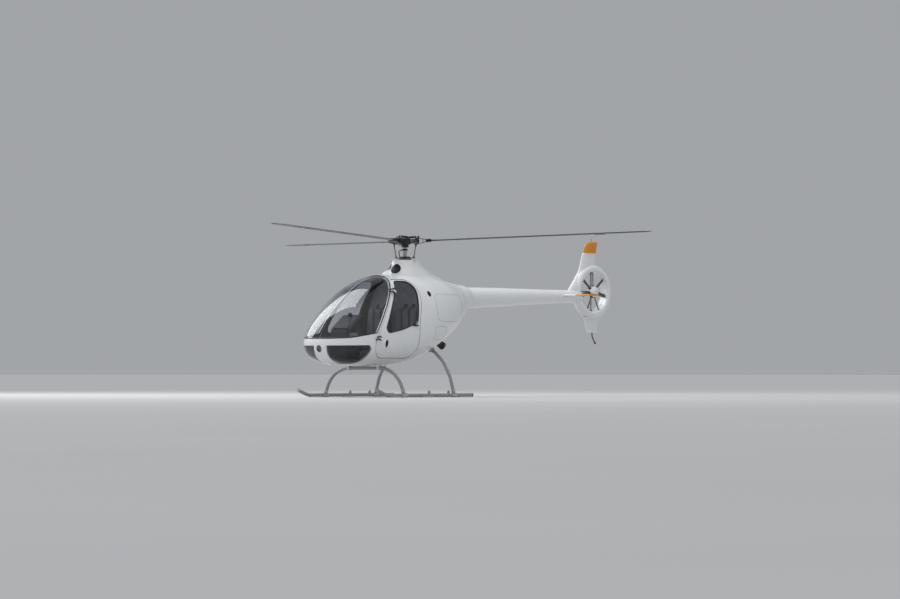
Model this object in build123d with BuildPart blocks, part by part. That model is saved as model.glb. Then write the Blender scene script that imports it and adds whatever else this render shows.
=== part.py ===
from build123d import *
import os
from math import cos, radians, sin, sqrt, tan

# Light two-seat helicopter with a three-blade rotor and a shrouded tail fan, in millimetres.
# +X is forward, +Y is the port side, +Z is up; the origin is on the floor under the rotor mast.

# Clearances
SEAT_GAP = 0.3
RUNNING_GAP = 0.05
DOOR_GAP = 8.0

# Cabin pod: walls, bulkhead and floor
WALL = 26.0
GLASS = 8.0
BULKHEAD_X = 185.0
BULKHEAD_T = 20.0
FLOOR_Z = 545.0
FLOOR_T = 16.0
FLOOR_FRONT_X = 1420.0
SPLIT_Z = 880.0
CHIN_STRIP_HALF = 125.0

# Stations of the pod: x, bottom z, top z, half width, z of the widest point,
# lower and upper fullness, and how far the skin faces forward there (0 to 1)
POD_STATIONS = (
    (1764, 712, 772, 60, 742, 0.552, 0.552, 1.00),
    (1745, 640, 850, 220, 746, 0.600, 0.560, 0.95),
    (1700, 568, 952, 365, 750, 0.640, 0.584, 0.75),
    (1580, 502, 1170, 500, 770, 0.665, 0.584, 0.45),
    (1350, 458, 1425, 580, 800, 0.709, 0.584, 0.25),
    (1000, 450, 1650, 615, 860, 0.730, 0.598, 0.08),
    (500, 452, 1780, 620, 950, 0.709, 0.613, 0.0),
    (100, 525, 1790, 610, 1000, 0.665, 0.613, 0.0),
    (-350, 695, 1770, 540, 1100, 0.613, 0.613, 0.0),
    (-750, 900, 1710, 415, 1250, 0.584, 0.584, 0.0),
    (-1080, 1165, 1660, 270, 1410, 0.552, 0.552, 0.0),
    (-1300, 1305, 1620, 158, 1462, 0.552, 0.552, 0.0),
)

# Outlines seen from the side, as x, z and corner radius
WINDSCREEN_OUTLINE = (
    (1950, 828, 5), (1950, 1900, 5), (600, 1900, 5), (606, 1735, 40),
    (1000, 1228, 1800), (1203, 927, 45), (1616, 856, 900),
)
DOOR_OUTLINE = (
    (592, 1708, 40), (1000, 1196, 1500), (1226, 800, 170), (1236, 560, 182),
    (330, 560, 180), (330, 1080, 900), (212, 1450, 500), (222, 1708, 172),
)
DOOR_WINDOW_OUTLINE = (
    (264, 1680, 125), (264, 1530, 150), (374, 1076, 55), (700, 972, 1500),
    (1062, 908, 62), (850, 1306, 2500), (575, 1680, 100),
)
CHIN_OUTLINE = ((1850, 742, 5), (1325, 748, 48), (1296, 680, 60), (1366, 482, 50), (1850, 466, 5))

# Door hinges: barrel centres on the port side, off the skin so that the bulged edge swings clear
HINGE_LOW = (1185.0, 662.0, 839.0)
HINGE_HIGH = (745.0, 497.0, 1533.0)
HINGE_PIN_R = 4.0
HINGE_BARREL_R = 10.0
HINGE_EYE = 30.0
HINGE_EAR = 10.0
HINGE_SIDE_GAP = 1.0
HINGE_ARM = 95.0
HINGE_OFFSET = 15.0
HINGE_LEG = 22.0
HANDLE_X = 372.0
HANDLE_Z = 1036.0
HANDLE_LENGTH = 105.0

# Pylon fairing: z, front x, rear x, half width, fullness of the rear half
PYLON_SECTIONS = (
    (1998, 229, -279, 134, 0.58),
    (1965, 232, -298, 140, 0.58),
    (1900, 262, -350, 158, 0.55),
    (1850, 316, -436, 180, 0.50),
    (1800, 404, -556, 205, 0.42),
    (1760, 458, -664, 225, 0.35),
    (1720, 520, -788, 262, 0.28),
    (1660, 600, -940, 312, 0.22),
)
PYLON_FULL = 0.58
INLET_CENTRE = (305.0, 112.0, 1874.0)
INLET_HEADING = 43.0
INLET_WIDTH = 130.0
INLET_HEIGHT = 148.0
INLET_DEPTH = 70.0
SCREEN_T = 8.0

# Mast, hub and swashplate
MAST_R = 27.0
MAST_BORE_R = 15.0
MAST_BORE_DEPTH = 120.0
MAST_TOP_Z = 2352.0
MAST_BOTTOM_Z = 1840.0
HOUSING_R = 62.0
HOUSING_BOTTOM_Z = 1640.0
HOUSING_TOP_Z = 2002.0
SWASH_T = 13.0
SWASH_R = 92.0
SWASH_GAP = 6.0
LINK_RADIUS = 151.0
LINK_TOP_RADIUS = 182.0
LINK_LEAD = 30.0
LINK_R = 6.0
LINK_EYE = 26.0
HUB_Z = MAST_TOP_Z - 82.0
HUB_R = 84.0
HUB_T = 92.0
HUB_ARM_END = 205.0
HUB_ARM_WIDTH = 70.0
HUB_SLEEVE_R = 50.0
HUB_SLEEVE_T = 40.0
GRIP_START = 150.0
GRIP_END = 385.0
GRIP_NECK = 300.0
GRIP_WIDTH = 92.0
GRIP_PLATE_T = 9.0
GRIP_SPACE = 68.0
ROOT_SPACE = 26.0
HORN_WIDTH = 46.0
DAMPER_R = 16.0
DAMPER_RISE = 63.0
DAMPER_HUB = (86.0, 58.0)
DAMPER_GRIP = (200.0, -24.0)

# Rotor blades: heading and flap angle of each, then radius, chord, thickness, pitch at each section
ROTOR_RADIUS = 3600.0
BLADE_SPOKES = ((133.0, 2.4), (13.0, 2.4), (-107.0, 0.6))
BLADE_STATIONS = (
    (302.0, 74.0, 24.0, 0.0),
    (392.0, 84.0, 24.0, 0.0),
    (640.0, 186.0, 24.0, 9.0),
    (3490.0, 172.0, 21.0, 7.0),
    (ROTOR_RADIUS, 118.0, 10.0, 7.0),
)

# Tail boom and tail
BOOM_STATIONS = ((-1300 - SEAT_GAP, 1462.5, 157.5, 158), (-2300, 1490, 130, 128), (-3450, 1513, 100, 98), (-3830, 1520, 96, 92))
FAN_X = -4145.0
FAN_Z = 1595.0
DUCT_R = 304.0
SHROUD_R = 414.0
SHROUD_HALF_DEPTH = 76.0
LIP_R = 30.0
SHROUD_ROUND = 62.0
FAN_TIP_GAP = 6.0
FAN_BLADES = 7
FAN_HUB_R = 84.0
FAN_Y = 28.0
FAN_HUB_DEPTH = 44.0
FAN_DOME = 58.0
FAN_SHAFT_R = 14.0
FAN_POD_R = 66.0
FAN_POD_LENGTH = 70.0
FAN_POD_GAP = 6.0
# radius, chord, thickness and pitch angle of a fan blade's sections
FAN_BLADE_STATIONS = ((80.0, 60.0, 12.0, 38.0), (DUCT_R, 58.0, 7.0, 24.0))
STRUT_Y = -16.0
STRUT_R = 13.0

# Upper fin: z, leading x, trailing x, half thickness; the last section is the top
FIN_SECTIONS = (
    (1560, -3540, -4330, 62),
    (1660, -3640, -4330, 62),
    (1780, -3746, -4325, 56),
    (1840, -3796, -4305, 50),
    (1900, -3836, -4280, 46),
    (2030, -3885, -4232, 38),
    (2185, -3950, -4243, 32),
)
FIN_TIP_SECTIONS = (
    (2185, -3950, -4243, 32),
    (2280, -3980, -4262, 28),
    (2336, -4030, -4272, 22),
    (2358, -4106, -4274, 12),
)
VENTRAL_SECTIONS = ((970, -4030, -4272, 18), (1090, -3990, -4296, 26), (1210, -3950, -4320, 40))
TAIL_SKID_ROUTE = ((-4150, 1030), (-4158, 905), (-4228, 805))
TAIL_SKID_R = 9.0

# Horizontal stabilizer
STAB_LEAD_X = -3365.0
STAB_CHORD = 280.0
STAB_T = 34.0
STAB_Z = 1530.0
STAB_HALF_SPAN = 625.0
STAB_TIP = 270.0

# Skid gear
SKID_HALF_GAUGE = 795.0
SKID_R = 25.0
SHOE_T = 6.0
SHOE_WIDTH = 38.0
SHOE_LENGTH = 240.0
SKID_ROUTE = ((-585.0, 0.0), (1215.0, 0.0), (1405.0, 70.0))
SKID_BEND_R = 400.0
CROSS_R = 24.0
FRONT_TUBE_X = 850.0
REAR_TUBE_X = -200.0
FRONT_ARCH = ((690, 300, 450), (420, 421, 480))
REAR_ARCH = ((712, 300, 600), (572, 520, 380), (370, 686, 260))
SADDLE_LENGTH = 72.0
SADDLE_WIDTH = 42.0
SADDLE_LIP = 4.0
FRONT_SADDLE_Y = 300.0
REAR_SADDLE_Y = 345.0
TOW_BORE_R = 8.5
TOW_LUG_X = (-80.0, 330.0)
TOW_LUG_T = 12.0

# Engine, exhaust, lights
ENGINE_REAR_X = -330.0
ENGINE_WIDTH = 640.0
ENGINE_Z = (820.0, 1180.0)
ENGINE_PAD_T = 25.0
EXHAUST_R = 52.0
EXHAUST_WALL = 4.0
EXHAUST_START = (-400.0, 130.0, 880.0)
EXHAUST_END = (-640.0, 160.0, 742.0)
LIGHT_R = 44.0
LIGHT_Y = -22.0
LIGHT_Z = 697.0
LIGHT_BACK_X = 1690.0

# Cabin furniture
SEAT_Y = 282.0
SEAT_WIDTH = 436.0
SEAT_FRONT_X = 760.0
SEAT_BACK_X = 335.0
SEAT_TOP_Z = 680.0
CUSHION_T = 85.0
BACK_T = 85.0
BACK_TOP_Z = 1290.0
PANEL_X = (1080.0, 1370.0)
PANEL_TOP_Z = 1160.0
PANEL_NOSE_Z = 960.0
PANEL_WAIST_Z = 900.0
PANEL_WIDTH = 330.0
STICK_X = 900.0
LEVER_X = 430.0
PEDAL_X = 1300.0
PEDAL_Y = 270.0

os.makedirs("parts", exist_ok=True)


def oval(right, left, up, down, full_up, full_down):
    """Face of four Bezier quadrants about the sketch's origin."""
    with BuildLine() as outline:
        for side in (right, -left):
            for rise, full in ((up, full_up), (-down, full_down)):
                Bezier((side, 0), (side, full * rise), (side * full, rise), (0, rise))
    return make_face(outline.edges())


def pod_body(inset):
    """The pod's solid, moved in by a wall thickness."""
    with BuildPart() as body:
        for x, low, high, half, waist, full_low, full_high, forward in POD_STATIONS:
            shrink = inset * sqrt(1 - forward ** 2)
            plane = Plane(origin=(x - inset * forward, 0, waist), x_dir=(0, 1, 0), z_dir=(1, 0, 0))
            with BuildSketch(plane):
                oval(
                    half - shrink, half - shrink, high - waist - shrink, waist - low - shrink,
                    full_high, full_low,
                )
        loft()
    return body.part


def side_prism(outline, y_from, y_to, inward=0.0):
    """Solid of a side-view outline between two y values, its edge moved inward."""
    with BuildPart() as prism:
        with BuildSketch(Plane.XZ.offset(-y_to)):
            with BuildLine():
                FilletPolyline(
                    [(x, z) for x, z, radius in outline],
                    radius=[radius for x, z, radius in outline], close=True,
                )
            make_face()
            if inward:
                offset(amount=-inward, mode=Mode.REPLACE)
        extrude(amount=y_to - y_from)
    return prism.part


def block(x, y, z):
    """Box between pairs of x, y and z."""
    size = (x[1] - x[0], y[1] - y[0], z[1] - z[0])
    middle = ((x[0] + x[1]) / 2, (y[0] + y[1]) / 2, (z[0] + z[1]) / 2)
    with BuildPart(Plane(origin=middle)) as box:
        Box(*size)
    return box.part


def finish(part, name):
    part.label = name
    export_step(part, "parts/" + name + ".step")


FAR = 2500.0
POD_OUTER = pod_body(0)
POD_GLASS = pod_body(GLASS)
POD_INNER = pod_body(WALL)
with BuildPart() as skin_build:
    add(POD_OUTER)
    add(POD_INNER, mode=Mode.SUBTRACT)
SKIN = skin_build.part
with BuildPart() as glass_build:
    add(POD_OUTER)
    add(POD_GLASS, mode=Mode.SUBTRACT)
GLASS_SKIN = glass_build.part


# Rear cross tube, made first because the belly is cut round it
def arch(x, corners, radius):
    foot = (SKID_HALF_GAUGE, SHOE_T + SKID_R)
    half = [foot] + [(y, z) for y, z, bend in corners]
    route = half + [(-y, z) for y, z in reversed(half)]
    bends = [bend for y, z, bend in corners]
    with BuildPart() as tube:
        with BuildLine(Plane(origin=(x, 0, 0), x_dir=(0, 1, 0), z_dir=(1, 0, 0))) as path:
            FilletPolyline(route, radius=bends + bends[::-1])
        with BuildSketch(Plane(origin=path.line @ 0, z_dir=path.line % 0)):
            Circle(radius)
        sweep()
    return tube.part


def skid_line(side, radius):
    with BuildPart() as tube:
        with BuildLine(Plane(origin=(0, side * SKID_HALF_GAUGE, SHOE_T + SKID_R), x_dir=(1, 0, 0), z_dir=(0, -1, 0))) as path:
            FilletPolyline(SKID_ROUTE, radius=SKID_BEND_R)
        with BuildSketch(Plane(origin=path.line @ 0, z_dir=path.line % 0)):
            Circle(radius)
        sweep()
    return tube.part


# Nose tub and cabin roof: the cabin's skin, less the windscreen, doors and chin windows
WINDSCREEN_PRISM = side_prism(WINDSCREEN_OUTLINE, -FAR, FAR)
with BuildPart() as light_hole:
    with BuildSketch(Plane(origin=(LIGHT_BACK_X, LIGHT_Y, LIGHT_Z), x_dir=(0, 1, 0), z_dir=(1, 0, 0))):
        Circle(LIGHT_R)
    extrude(amount=FAR)
with BuildPart() as cabin:
    add(SKIN)
    add(block((-FAR, BULKHEAD_X), (-FAR, FAR), (0, FAR)), mode=Mode.SUBTRACT)
    add(WINDSCREEN_PRISM, mode=Mode.SUBTRACT)
    for y_from, y_to in ((0, FAR), (-FAR, 0)):
        add(side_prism(DOOR_OUTLINE, y_from, y_to), mode=Mode.SUBTRACT)
    for y_from, y_to in ((CHIN_STRIP_HALF, FAR), (-FAR, -CHIN_STRIP_HALF)):
        add(side_prism(CHIN_OUTLINE, y_from, y_to), mode=Mode.SUBTRACT)
    add(light_hole.part, mode=Mode.SUBTRACT)
with BuildPart() as nose_tub:
    add(cabin.part)
    add(block((-FAR, FAR), (-FAR, FAR), (SPLIT_Z, FAR)), mode=Mode.SUBTRACT)
finish(nose_tub.part, "nose_tub")
with BuildPart() as cabin_roof:
    add(cabin.part)
    add(block((-FAR, FAR), (-FAR, FAR), (0, SPLIT_Z)), mode=Mode.SUBTRACT)
finish(cabin_roof.part, "cabin_roof")

with BuildPart() as windscreen:
    add(GLASS_SKIN)
    add(WINDSCREEN_PRISM, mode=Mode.INTERSECT)
finish(windscreen.part, "windscreen")

with BuildPart() as chin_window:
    add(GLASS_SKIN)
    add(side_prism(CHIN_OUTLINE, CHIN_STRIP_HALF, FAR), mode=Mode.INTERSECT)
with BuildPart() as chin_windows:
    add(chin_window.part)
    mirror(about=Plane.XZ)
finish(chin_windows.part, "chin_windows")

with BuildPart() as light:
    with BuildSketch(Plane(origin=(LIGHT_BACK_X, LIGHT_Y, LIGHT_Z), x_dir=(0, 1, 0), z_dir=(1, 0, 0))):
        Circle(LIGHT_R - SEAT_GAP)
    extrude(amount=FAR)
    add(POD_OUTER, mode=Mode.INTERSECT)
finish(light.part, "landing_light")

# Bulkhead and floor fill the inside of the skin
with BuildPart() as bulkhead:
    add(POD_INNER)
    add(block((BULKHEAD_X - BULKHEAD_T, BULKHEAD_X), (-FAR, FAR), (0, FAR)), mode=Mode.INTERSECT)
finish(bulkhead.part, "bulkhead")
with BuildPart() as floor:
    add(POD_INNER)
    add(block((BULKHEAD_X, FLOOR_FRONT_X), (-FAR, FAR), (FLOOR_Z - FLOOR_T, FLOOR_Z)), mode=Mode.INTERSECT)
finish(floor.part, "cabin_floor")

# Rear fuselage: the skin behind the bulkhead, cut for the rear cross tube and the exhaust
REAR_TUBE = arch(REAR_TUBE_X, REAR_ARCH, CROSS_R)
EXHAUST_WAY = Vector(*EXHAUST_END) - Vector(*EXHAUST_START)


def exhaust_rod(radius):
    with BuildPart() as rod:
        with BuildSketch(Plane(origin=EXHAUST_START, z_dir=EXHAUST_WAY)):
            Circle(radius)
        extrude(amount=EXHAUST_WAY.length)
    return rod.part


with BuildPart() as rear_fuselage:
    add(SKIN)
    add(block((BULKHEAD_X, FAR), (-FAR, FAR), (0, FAR)), mode=Mode.SUBTRACT)
    add(arch(REAR_TUBE_X, REAR_ARCH, CROSS_R + SEAT_GAP), mode=Mode.SUBTRACT)
    add(exhaust_rod(EXHAUST_R + SEAT_GAP), mode=Mode.SUBTRACT)
    with BuildSketch(Plane(origin=(0, 0, HOUSING_BOTTOM_Z))):
        Circle(HOUSING_R + SEAT_GAP)
    extrude(amount=FAR, mode=Mode.SUBTRACT)
finish(rear_fuselage.part, "rear_fuselage")

with BuildPart() as exhaust:
    add(exhaust_rod(EXHAUST_R))
    add(exhaust_rod(EXHAUST_R - EXHAUST_WALL), mode=Mode.SUBTRACT)
finish(exhaust.part, "exhaust_pipe")

# Engine: one plain block on four pads against the bulkhead
ENGINE_FRONT_X = BULKHEAD_X - BULKHEAD_T - ENGINE_PAD_T
with BuildPart() as engine:
    add(block((ENGINE_REAR_X, ENGINE_FRONT_X), (-ENGINE_WIDTH / 2, ENGINE_WIDTH / 2), ENGINE_Z))
    chamfer(engine.edges().filter_by(Axis.X), 40)
    with BuildSketch(Plane(origin=(ENGINE_FRONT_X, 0, sum(ENGINE_Z) / 2), x_dir=(0, 1, 0), z_dir=(1, 0, 0))):
        with GridLocations(ENGINE_WIDTH - 200, 200, 2, 2):
            Circle(30)
    extrude(amount=ENGINE_PAD_T)
finish(engine.part, "engine_block")

# Pylon fairing on the pod's roof, bored for the mast housing
INLET_WAY = Vector(cos(radians(INLET_HEADING)), sin(radians(INLET_HEADING)), 0)


def inlet(width, height, start, end):
    """Oval plug on the fairing's port shoulder, between two depths along its heading."""
    origin = Vector(*INLET_CENTRE) - INLET_WAY * start
    with BuildPart() as plug:
        with BuildSketch(Plane(origin=origin, x_dir=(-INLET_WAY.Y, INLET_WAY.X, 0), z_dir=-INLET_WAY)):
            Ellipse(width / 2, height / 2)
        extrude(amount=end - start)
    return plug.part


def plan_oval(front, rear, half, full_front, full_rear):
    """Face of four Bezier quadrants, with its own fullness at the front and at the rear."""
    with BuildLine() as outline:
        for reach, full in ((front, full_front), (-rear, full_rear)):
            for side in (half, -half):
                Bezier((0, side), (full * reach, side), (reach, side * full), (reach, 0))
    return make_face(outline.edges())


with BuildPart() as pylon:
    for z, front, rear, half, rear_full in PYLON_SECTIONS:
        middle = (front + rear) / 2
        with BuildSketch(Plane(origin=(middle, 0, z))):
            plan_oval(front - middle, middle - rear, half, PYLON_FULL, rear_full)
    loft()
    add(POD_OUTER, mode=Mode.SUBTRACT)
    with BuildSketch(Plane(origin=(0, 0, HOUSING_BOTTOM_Z))):
        Circle(HOUSING_R + SEAT_GAP)
    extrude(amount=FAR, mode=Mode.SUBTRACT)
    inlet_cut = inlet(INLET_WIDTH, INLET_HEIGHT, -200, INLET_DEPTH)
    add(inlet_cut, mode=Mode.SUBTRACT)
    add(inlet_cut.mirror(Plane.XZ), mode=Mode.SUBTRACT)
finish(pylon.part, "pylon_fairing")

with BuildPart() as screens:
    add(inlet(INLET_WIDTH - 2 * SEAT_GAP, INLET_HEIGHT - 2 * SEAT_GAP, INLET_DEPTH - SCREEN_T, INLET_DEPTH))
    mirror(about=Plane.XZ)
finish(screens.part, "inlet_screens")

# Mast housing carries the mast in its bore and the fixed swashplate on its top
with BuildPart() as housing:
    with BuildSketch(Plane(origin=(0, 0, HOUSING_BOTTOM_Z))):
        Circle(HOUSING_R)
    extrude(amount=HOUSING_TOP_Z - HOUSING_BOTTOM_Z)
    with BuildSketch(Plane(origin=(0, 0, MAST_BOTTOM_Z - RUNNING_GAP))):
        Circle(MAST_R + RUNNING_GAP)
    extrude(amount=FAR, mode=Mode.SUBTRACT)
finish(housing.part, "mast_housing")
with BuildPart() as swash_fixed:
    with BuildSketch(Plane(origin=(0, 0, HOUSING_TOP_Z))):
        Circle(SWASH_R)
        Circle(MAST_R + SWASH_GAP, mode=Mode.SUBTRACT)
    extrude(amount=SWASH_T)
    chamfer(swash_fixed.faces().sort_by(Axis.Z)[-1].outer_wire().edges(), 4)
finish(swash_fixed.part, "swashplate_fixed")

with BuildPart() as mast:
    with BuildSketch(Plane(origin=(0, 0, MAST_BOTTOM_Z))):
        Circle(MAST_R)
    extrude(amount=MAST_TOP_Z - MAST_BOTTOM_Z)
    with BuildSketch(Plane(origin=(0, 0, MAST_TOP_Z - MAST_BORE_DEPTH))):
        Circle(MAST_BORE_R)
    extrude(amount=MAST_BORE_DEPTH, mode=Mode.SUBTRACT)
finish(mast.part, "rotor_mast")


def spoke(azimuth, cone, radius):
    """Plane across a coned spoke: x towards the leading edge, z outward along the spoke."""
    turn = radians(azimuth)
    slope = tan(radians(cone))
    return Plane(
        origin=(radius * cos(turn), radius * sin(turn), HUB_Z + radius * slope),
        x_dir=(sin(turn), -cos(turn), 0), z_dir=(cos(turn), sin(turn), slope),
    )


def spoke_side(azimuth, cone, side):
    """Plane along a coned spoke: x outward, y up, moved towards the leading edge."""
    across = spoke(azimuth, cone, 0)
    return Plane(origin=across.origin + across.x_dir * side, x_dir=across.z_dir, z_dir=across.x_dir)


SWASH_Z = HOUSING_TOP_Z + SWASH_T + SWASH_GAP
with BuildPart() as swash_turning:
    with BuildSketch(Plane(origin=(0, 0, SWASH_Z))):
        Circle(SWASH_R)
        for azimuth, cone in BLADE_SPOKES:
            with Locations(Rotation(0, 0, azimuth - LINK_LEAD)):
                with Locations((LINK_RADIUS / 2, 0)):
                    Rectangle(LINK_RADIUS, 26)
                with Locations((LINK_RADIUS, 0)):
                    Circle(15)
        Circle(MAST_R + SEAT_GAP, mode=Mode.SUBTRACT)
    extrude(amount=SWASH_T)
finish(swash_turning.part, "swashplate_turning")

# Hub: three arms on a round body, with a sleeve below it and a nut above
ARM_HEIGHT = GRIP_SPACE - 2 * RUNNING_GAP
with BuildPart() as hub:
    with BuildSketch(Plane(origin=(0, 0, HUB_Z - HUB_T / 2))):
        Circle(HUB_R)
    extrude(amount=HUB_T)
    chamfer(hub.edges().filter_by(GeomType.CIRCLE), 10)
    with BuildSketch(Plane(origin=(0, 0, HUB_Z - HUB_T / 2 - HUB_SLEEVE_T))):
        Circle(HUB_SLEEVE_R)
    extrude(amount=HUB_SLEEVE_T)
    for azimuth, cone in BLADE_SPOKES:
        with BuildSketch(spoke(azimuth, cone, 0)):
            Rectangle(HUB_ARM_WIDTH, ARM_HEIGHT)
        extrude(amount=HUB_ARM_END)
    with BuildSketch(Plane(origin=(0, 0, HUB_Z - HUB_T))):
        Circle(MAST_R + SEAT_GAP)
    extrude(amount=FAR, mode=Mode.SUBTRACT)
finish(hub.part, "rotor_hub")

# Forked grips: two plates that close in on the blade's root, and the pitch horn under the lower one
INNER = GRIP_SPACE / 2
ROOT = ROOT_SPACE / 2
with BuildPart() as grips:
    for azimuth, cone in BLADE_SPOKES:
        plane = spoke_side(azimuth, cone, -GRIP_WIDTH / 2)
        for up in (1, -1):
            with BuildSketch(plane):
                with BuildLine():
                    Polyline(
                        (GRIP_START, up * INNER), (HUB_ARM_END, up * INNER), (GRIP_NECK, up * ROOT),
                        (GRIP_END, up * ROOT), (GRIP_END, up * (ROOT + GRIP_PLATE_T)),
                        (GRIP_NECK, up * (ROOT + GRIP_PLATE_T)), (HUB_ARM_END, up * (INNER + GRIP_PLATE_T)),
                        (GRIP_START, up * (INNER + GRIP_PLATE_T)), close=True,
                    )
                make_face()
            extrude(amount=GRIP_WIDTH)
        low = spoke_side(azimuth, cone, 0)
        floor_plane = Plane(
            origin=low.origin - low.y_dir * (INNER + 2 * GRIP_PLATE_T), x_dir=low.x_dir, z_dir=low.y_dir,
        )
        reach = LINK_TOP_RADIUS * cos(radians(LINK_LEAD))
        side = LINK_TOP_RADIUS * sin(radians(LINK_LEAD))
        with BuildSketch(floor_plane):
            with Locations((reach, -side / 2)):
                Rectangle(HORN_WIDTH, side)
            with Locations((reach, -side)):
                Circle(HORN_WIDTH / 2)
        extrude(amount=GRIP_PLATE_T)
finish(grips.part, "blade_grips")

# Lag dampers from the hub's top to the upper grip plates
with BuildPart() as dampers:
    for azimuth, cone in BLADE_SPOKES:
        turn = radians(azimuth + DAMPER_HUB[1])
        start = Vector(DAMPER_HUB[0] * cos(turn), DAMPER_HUB[0] * sin(turn), HUB_Z + DAMPER_RISE)
        across = spoke(azimuth, cone, DAMPER_GRIP[0])
        end = across.origin + across.x_dir * DAMPER_GRIP[1] + Vector(0, 0, DAMPER_RISE)
        way = end - start
        with BuildSketch(Plane(origin=start + way * 0.12, z_dir=way)):
            Circle(DAMPER_R)
        extrude(amount=way.length * 0.62)
        with BuildSketch(Plane(origin=start, z_dir=way)):
            Circle(DAMPER_R / 2)
        extrude(amount=way.length)
        for post in (start, end):
            drop = DAMPER_RISE - INNER - GRIP_PLATE_T / 2
            with BuildSketch(Plane(origin=post - Vector(0, 0, drop))):
                Circle(DAMPER_R * 0.7)
            extrude(amount=drop + DAMPER_R * 0.7)
    add(hub.part, mode=Mode.SUBTRACT)
    add(grips.part, mode=Mode.SUBTRACT)
finish(dampers.part, "lag_dampers")


def aerofoil(chord, thickness):
    """Symmetrical section with its quarter chord at the sketch's origin, nose towards +x."""
    nose, crest, tail = 0.25 * chord, -0.05 * chord, -0.75 * chord
    half = thickness / 2
    with BuildLine() as outline:
        for side in (half, -half):
            Bezier((nose, 0), (nose, 0.55 * side), (crest + 0.16 * chord, side), (crest, side))
            Bezier((crest, side), (crest - 0.25 * chord, side), (tail + 0.2 * chord, 0.3 * side), (tail, 0.06 * side))
        Line((tail, 0.06 * half), (tail, -0.06 * half))
    return make_face(outline.edges())


for number, (azimuth, cone) in enumerate(BLADE_SPOKES, 1):
    with BuildPart() as blade:
        for radius, chord, thickness, pitch in BLADE_STATIONS:
            with BuildSketch(spoke(azimuth, cone, radius).rotated((0, 0, -pitch))):
                aerofoil(chord, thickness)
        loft(ruled=True)
    finish(blade.part, "blade_%d" % number)

# Pitch links lean out from the swashplate's arms to the horns
ARM_TOP_Z = SWASH_Z + SWASH_T
HORN_LOW_Z = HUB_Z - INNER - 2 * GRIP_PLATE_T
with BuildPart() as links:
    for azimuth, cone in BLADE_SPOKES:
        turn = radians(azimuth - LINK_LEAD)
        way = Vector(cos(turn), sin(turn), 0)
        low = way * LINK_RADIUS + Vector(0, 0, ARM_TOP_Z)
        high = way * LINK_TOP_RADIUS + Vector(0, 0, HORN_LOW_Z - LINK_EYE)
        for foot in (low, high):
            with BuildSketch(Plane(origin=foot)):
                Circle(2 * LINK_R)
            extrude(amount=LINK_EYE if foot is low else LINK_EYE + GRIP_PLATE_T)
        rod_start = low + Vector(0, 0, LINK_EYE / 2)
        rod_way = high + Vector(0, 0, LINK_EYE / 2) - rod_start
        with BuildSketch(Plane(origin=rod_start, z_dir=rod_way)):
            Circle(LINK_R)
        extrude(amount=rod_way.length)
    add(grips.part, mode=Mode.SUBTRACT)
finish(links.part, "pitch_links")

# Tail boom, round section narrowing towards the fan
with BuildPart() as boom:
    for x, middle, half_high, half_wide in BOOM_STATIONS:
        with BuildSketch(Plane(origin=(x, 0, middle), x_dir=(0, 1, 0), z_dir=(1, 0, 0))):
            oval(half_wide, half_wide, half_high, half_high, 0.552, 0.552)
    loft()

FAN_PLANE = Plane(origin=(FAN_X, 0, FAN_Z), x_dir=(1, 0, 0), z_dir=(0, -1, 0))
DEPTH = SHROUD_HALF_DEPTH
RIM = SHROUD_R - SHROUD_ROUND
FAN_AXIS = Axis((FAN_X, 0, FAN_Z), (0, 1, 0))
with BuildPart() as shroud_disc:
    with BuildSketch(Plane.XY.offset(FAN_Z)):
        with BuildLine():
            Polyline((FAN_X, DEPTH), (FAN_X, -DEPTH), (FAN_X + RIM, -DEPTH))
            EllipticalCenterArc((FAN_X + RIM, 0), SHROUD_ROUND, DEPTH, start_angle=-90, arc_size=180)
            Line((FAN_X + RIM, DEPTH), (FAN_X, DEPTH))
        make_face()
    revolve(axis=FAN_AXIS)
with BuildPart() as shroud:
    add(shroud_disc.part)
    with BuildSketch(Plane.XY.offset(FAN_Z)):
        with BuildLine():
            Polyline((FAN_X, -FAR), (FAN_X + DUCT_R, -FAR), (FAN_X + DUCT_R, DEPTH - LIP_R))
            RadiusArc((FAN_X + DUCT_R, DEPTH - LIP_R), (FAN_X + DUCT_R + LIP_R, DEPTH), LIP_R)
            Polyline((FAN_X + DUCT_R + LIP_R, DEPTH), (FAN_X + DUCT_R + LIP_R, FAR), (FAN_X, FAR), (FAN_X, -FAR))
        make_face()
    revolve(axis=FAN_AXIS, mode=Mode.SUBTRACT)
with BuildPart() as tail_boom:
    add(boom.part)
    add(shroud_disc.part, mode=Mode.SUBTRACT)
finish(tail_boom.part, "tail_boom")
finish(shroud.part, "fan_shroud")


def fin_loft(sections):
    with BuildPart() as fin:
        for z, lead, trail, half in sections:
            crest = lead - 0.35 * (lead - trail)
            with BuildSketch(Plane(origin=(crest, 0, z))):
                oval(lead - crest, crest - trail, half, half, 0.552, 0.552)
        loft()
    return fin.part


with BuildPart() as upper_fin:
    add(fin_loft(FIN_SECTIONS))
    add(shroud_disc.part, mode=Mode.SUBTRACT)
    add(boom.part, mode=Mode.SUBTRACT)
finish(upper_fin.part, "upper_fin")
with BuildPart() as fin_tip:
    add(fin_loft(FIN_TIP_SECTIONS))
finish(fin_tip.part, "fin_tip")


def tail_skid_rod(radius):
    with BuildPart() as rod:
        with BuildLine(Plane.XZ) as path:
            FilletPolyline(TAIL_SKID_ROUTE, radius=60)
        with BuildSketch(Plane(origin=path.line @ 0, z_dir=path.line % 0)):
            Circle(radius)
        sweep()
    return rod.part


with BuildPart() as ventral_fin:
    add(fin_loft(VENTRAL_SECTIONS))
    add(shroud_disc.part, mode=Mode.SUBTRACT)
    add(tail_skid_rod(TAIL_SKID_R + SEAT_GAP), mode=Mode.SUBTRACT)
finish(ventral_fin.part, "ventral_fin")
finish(tail_skid_rod(TAIL_SKID_R), "tail_skid")

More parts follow.
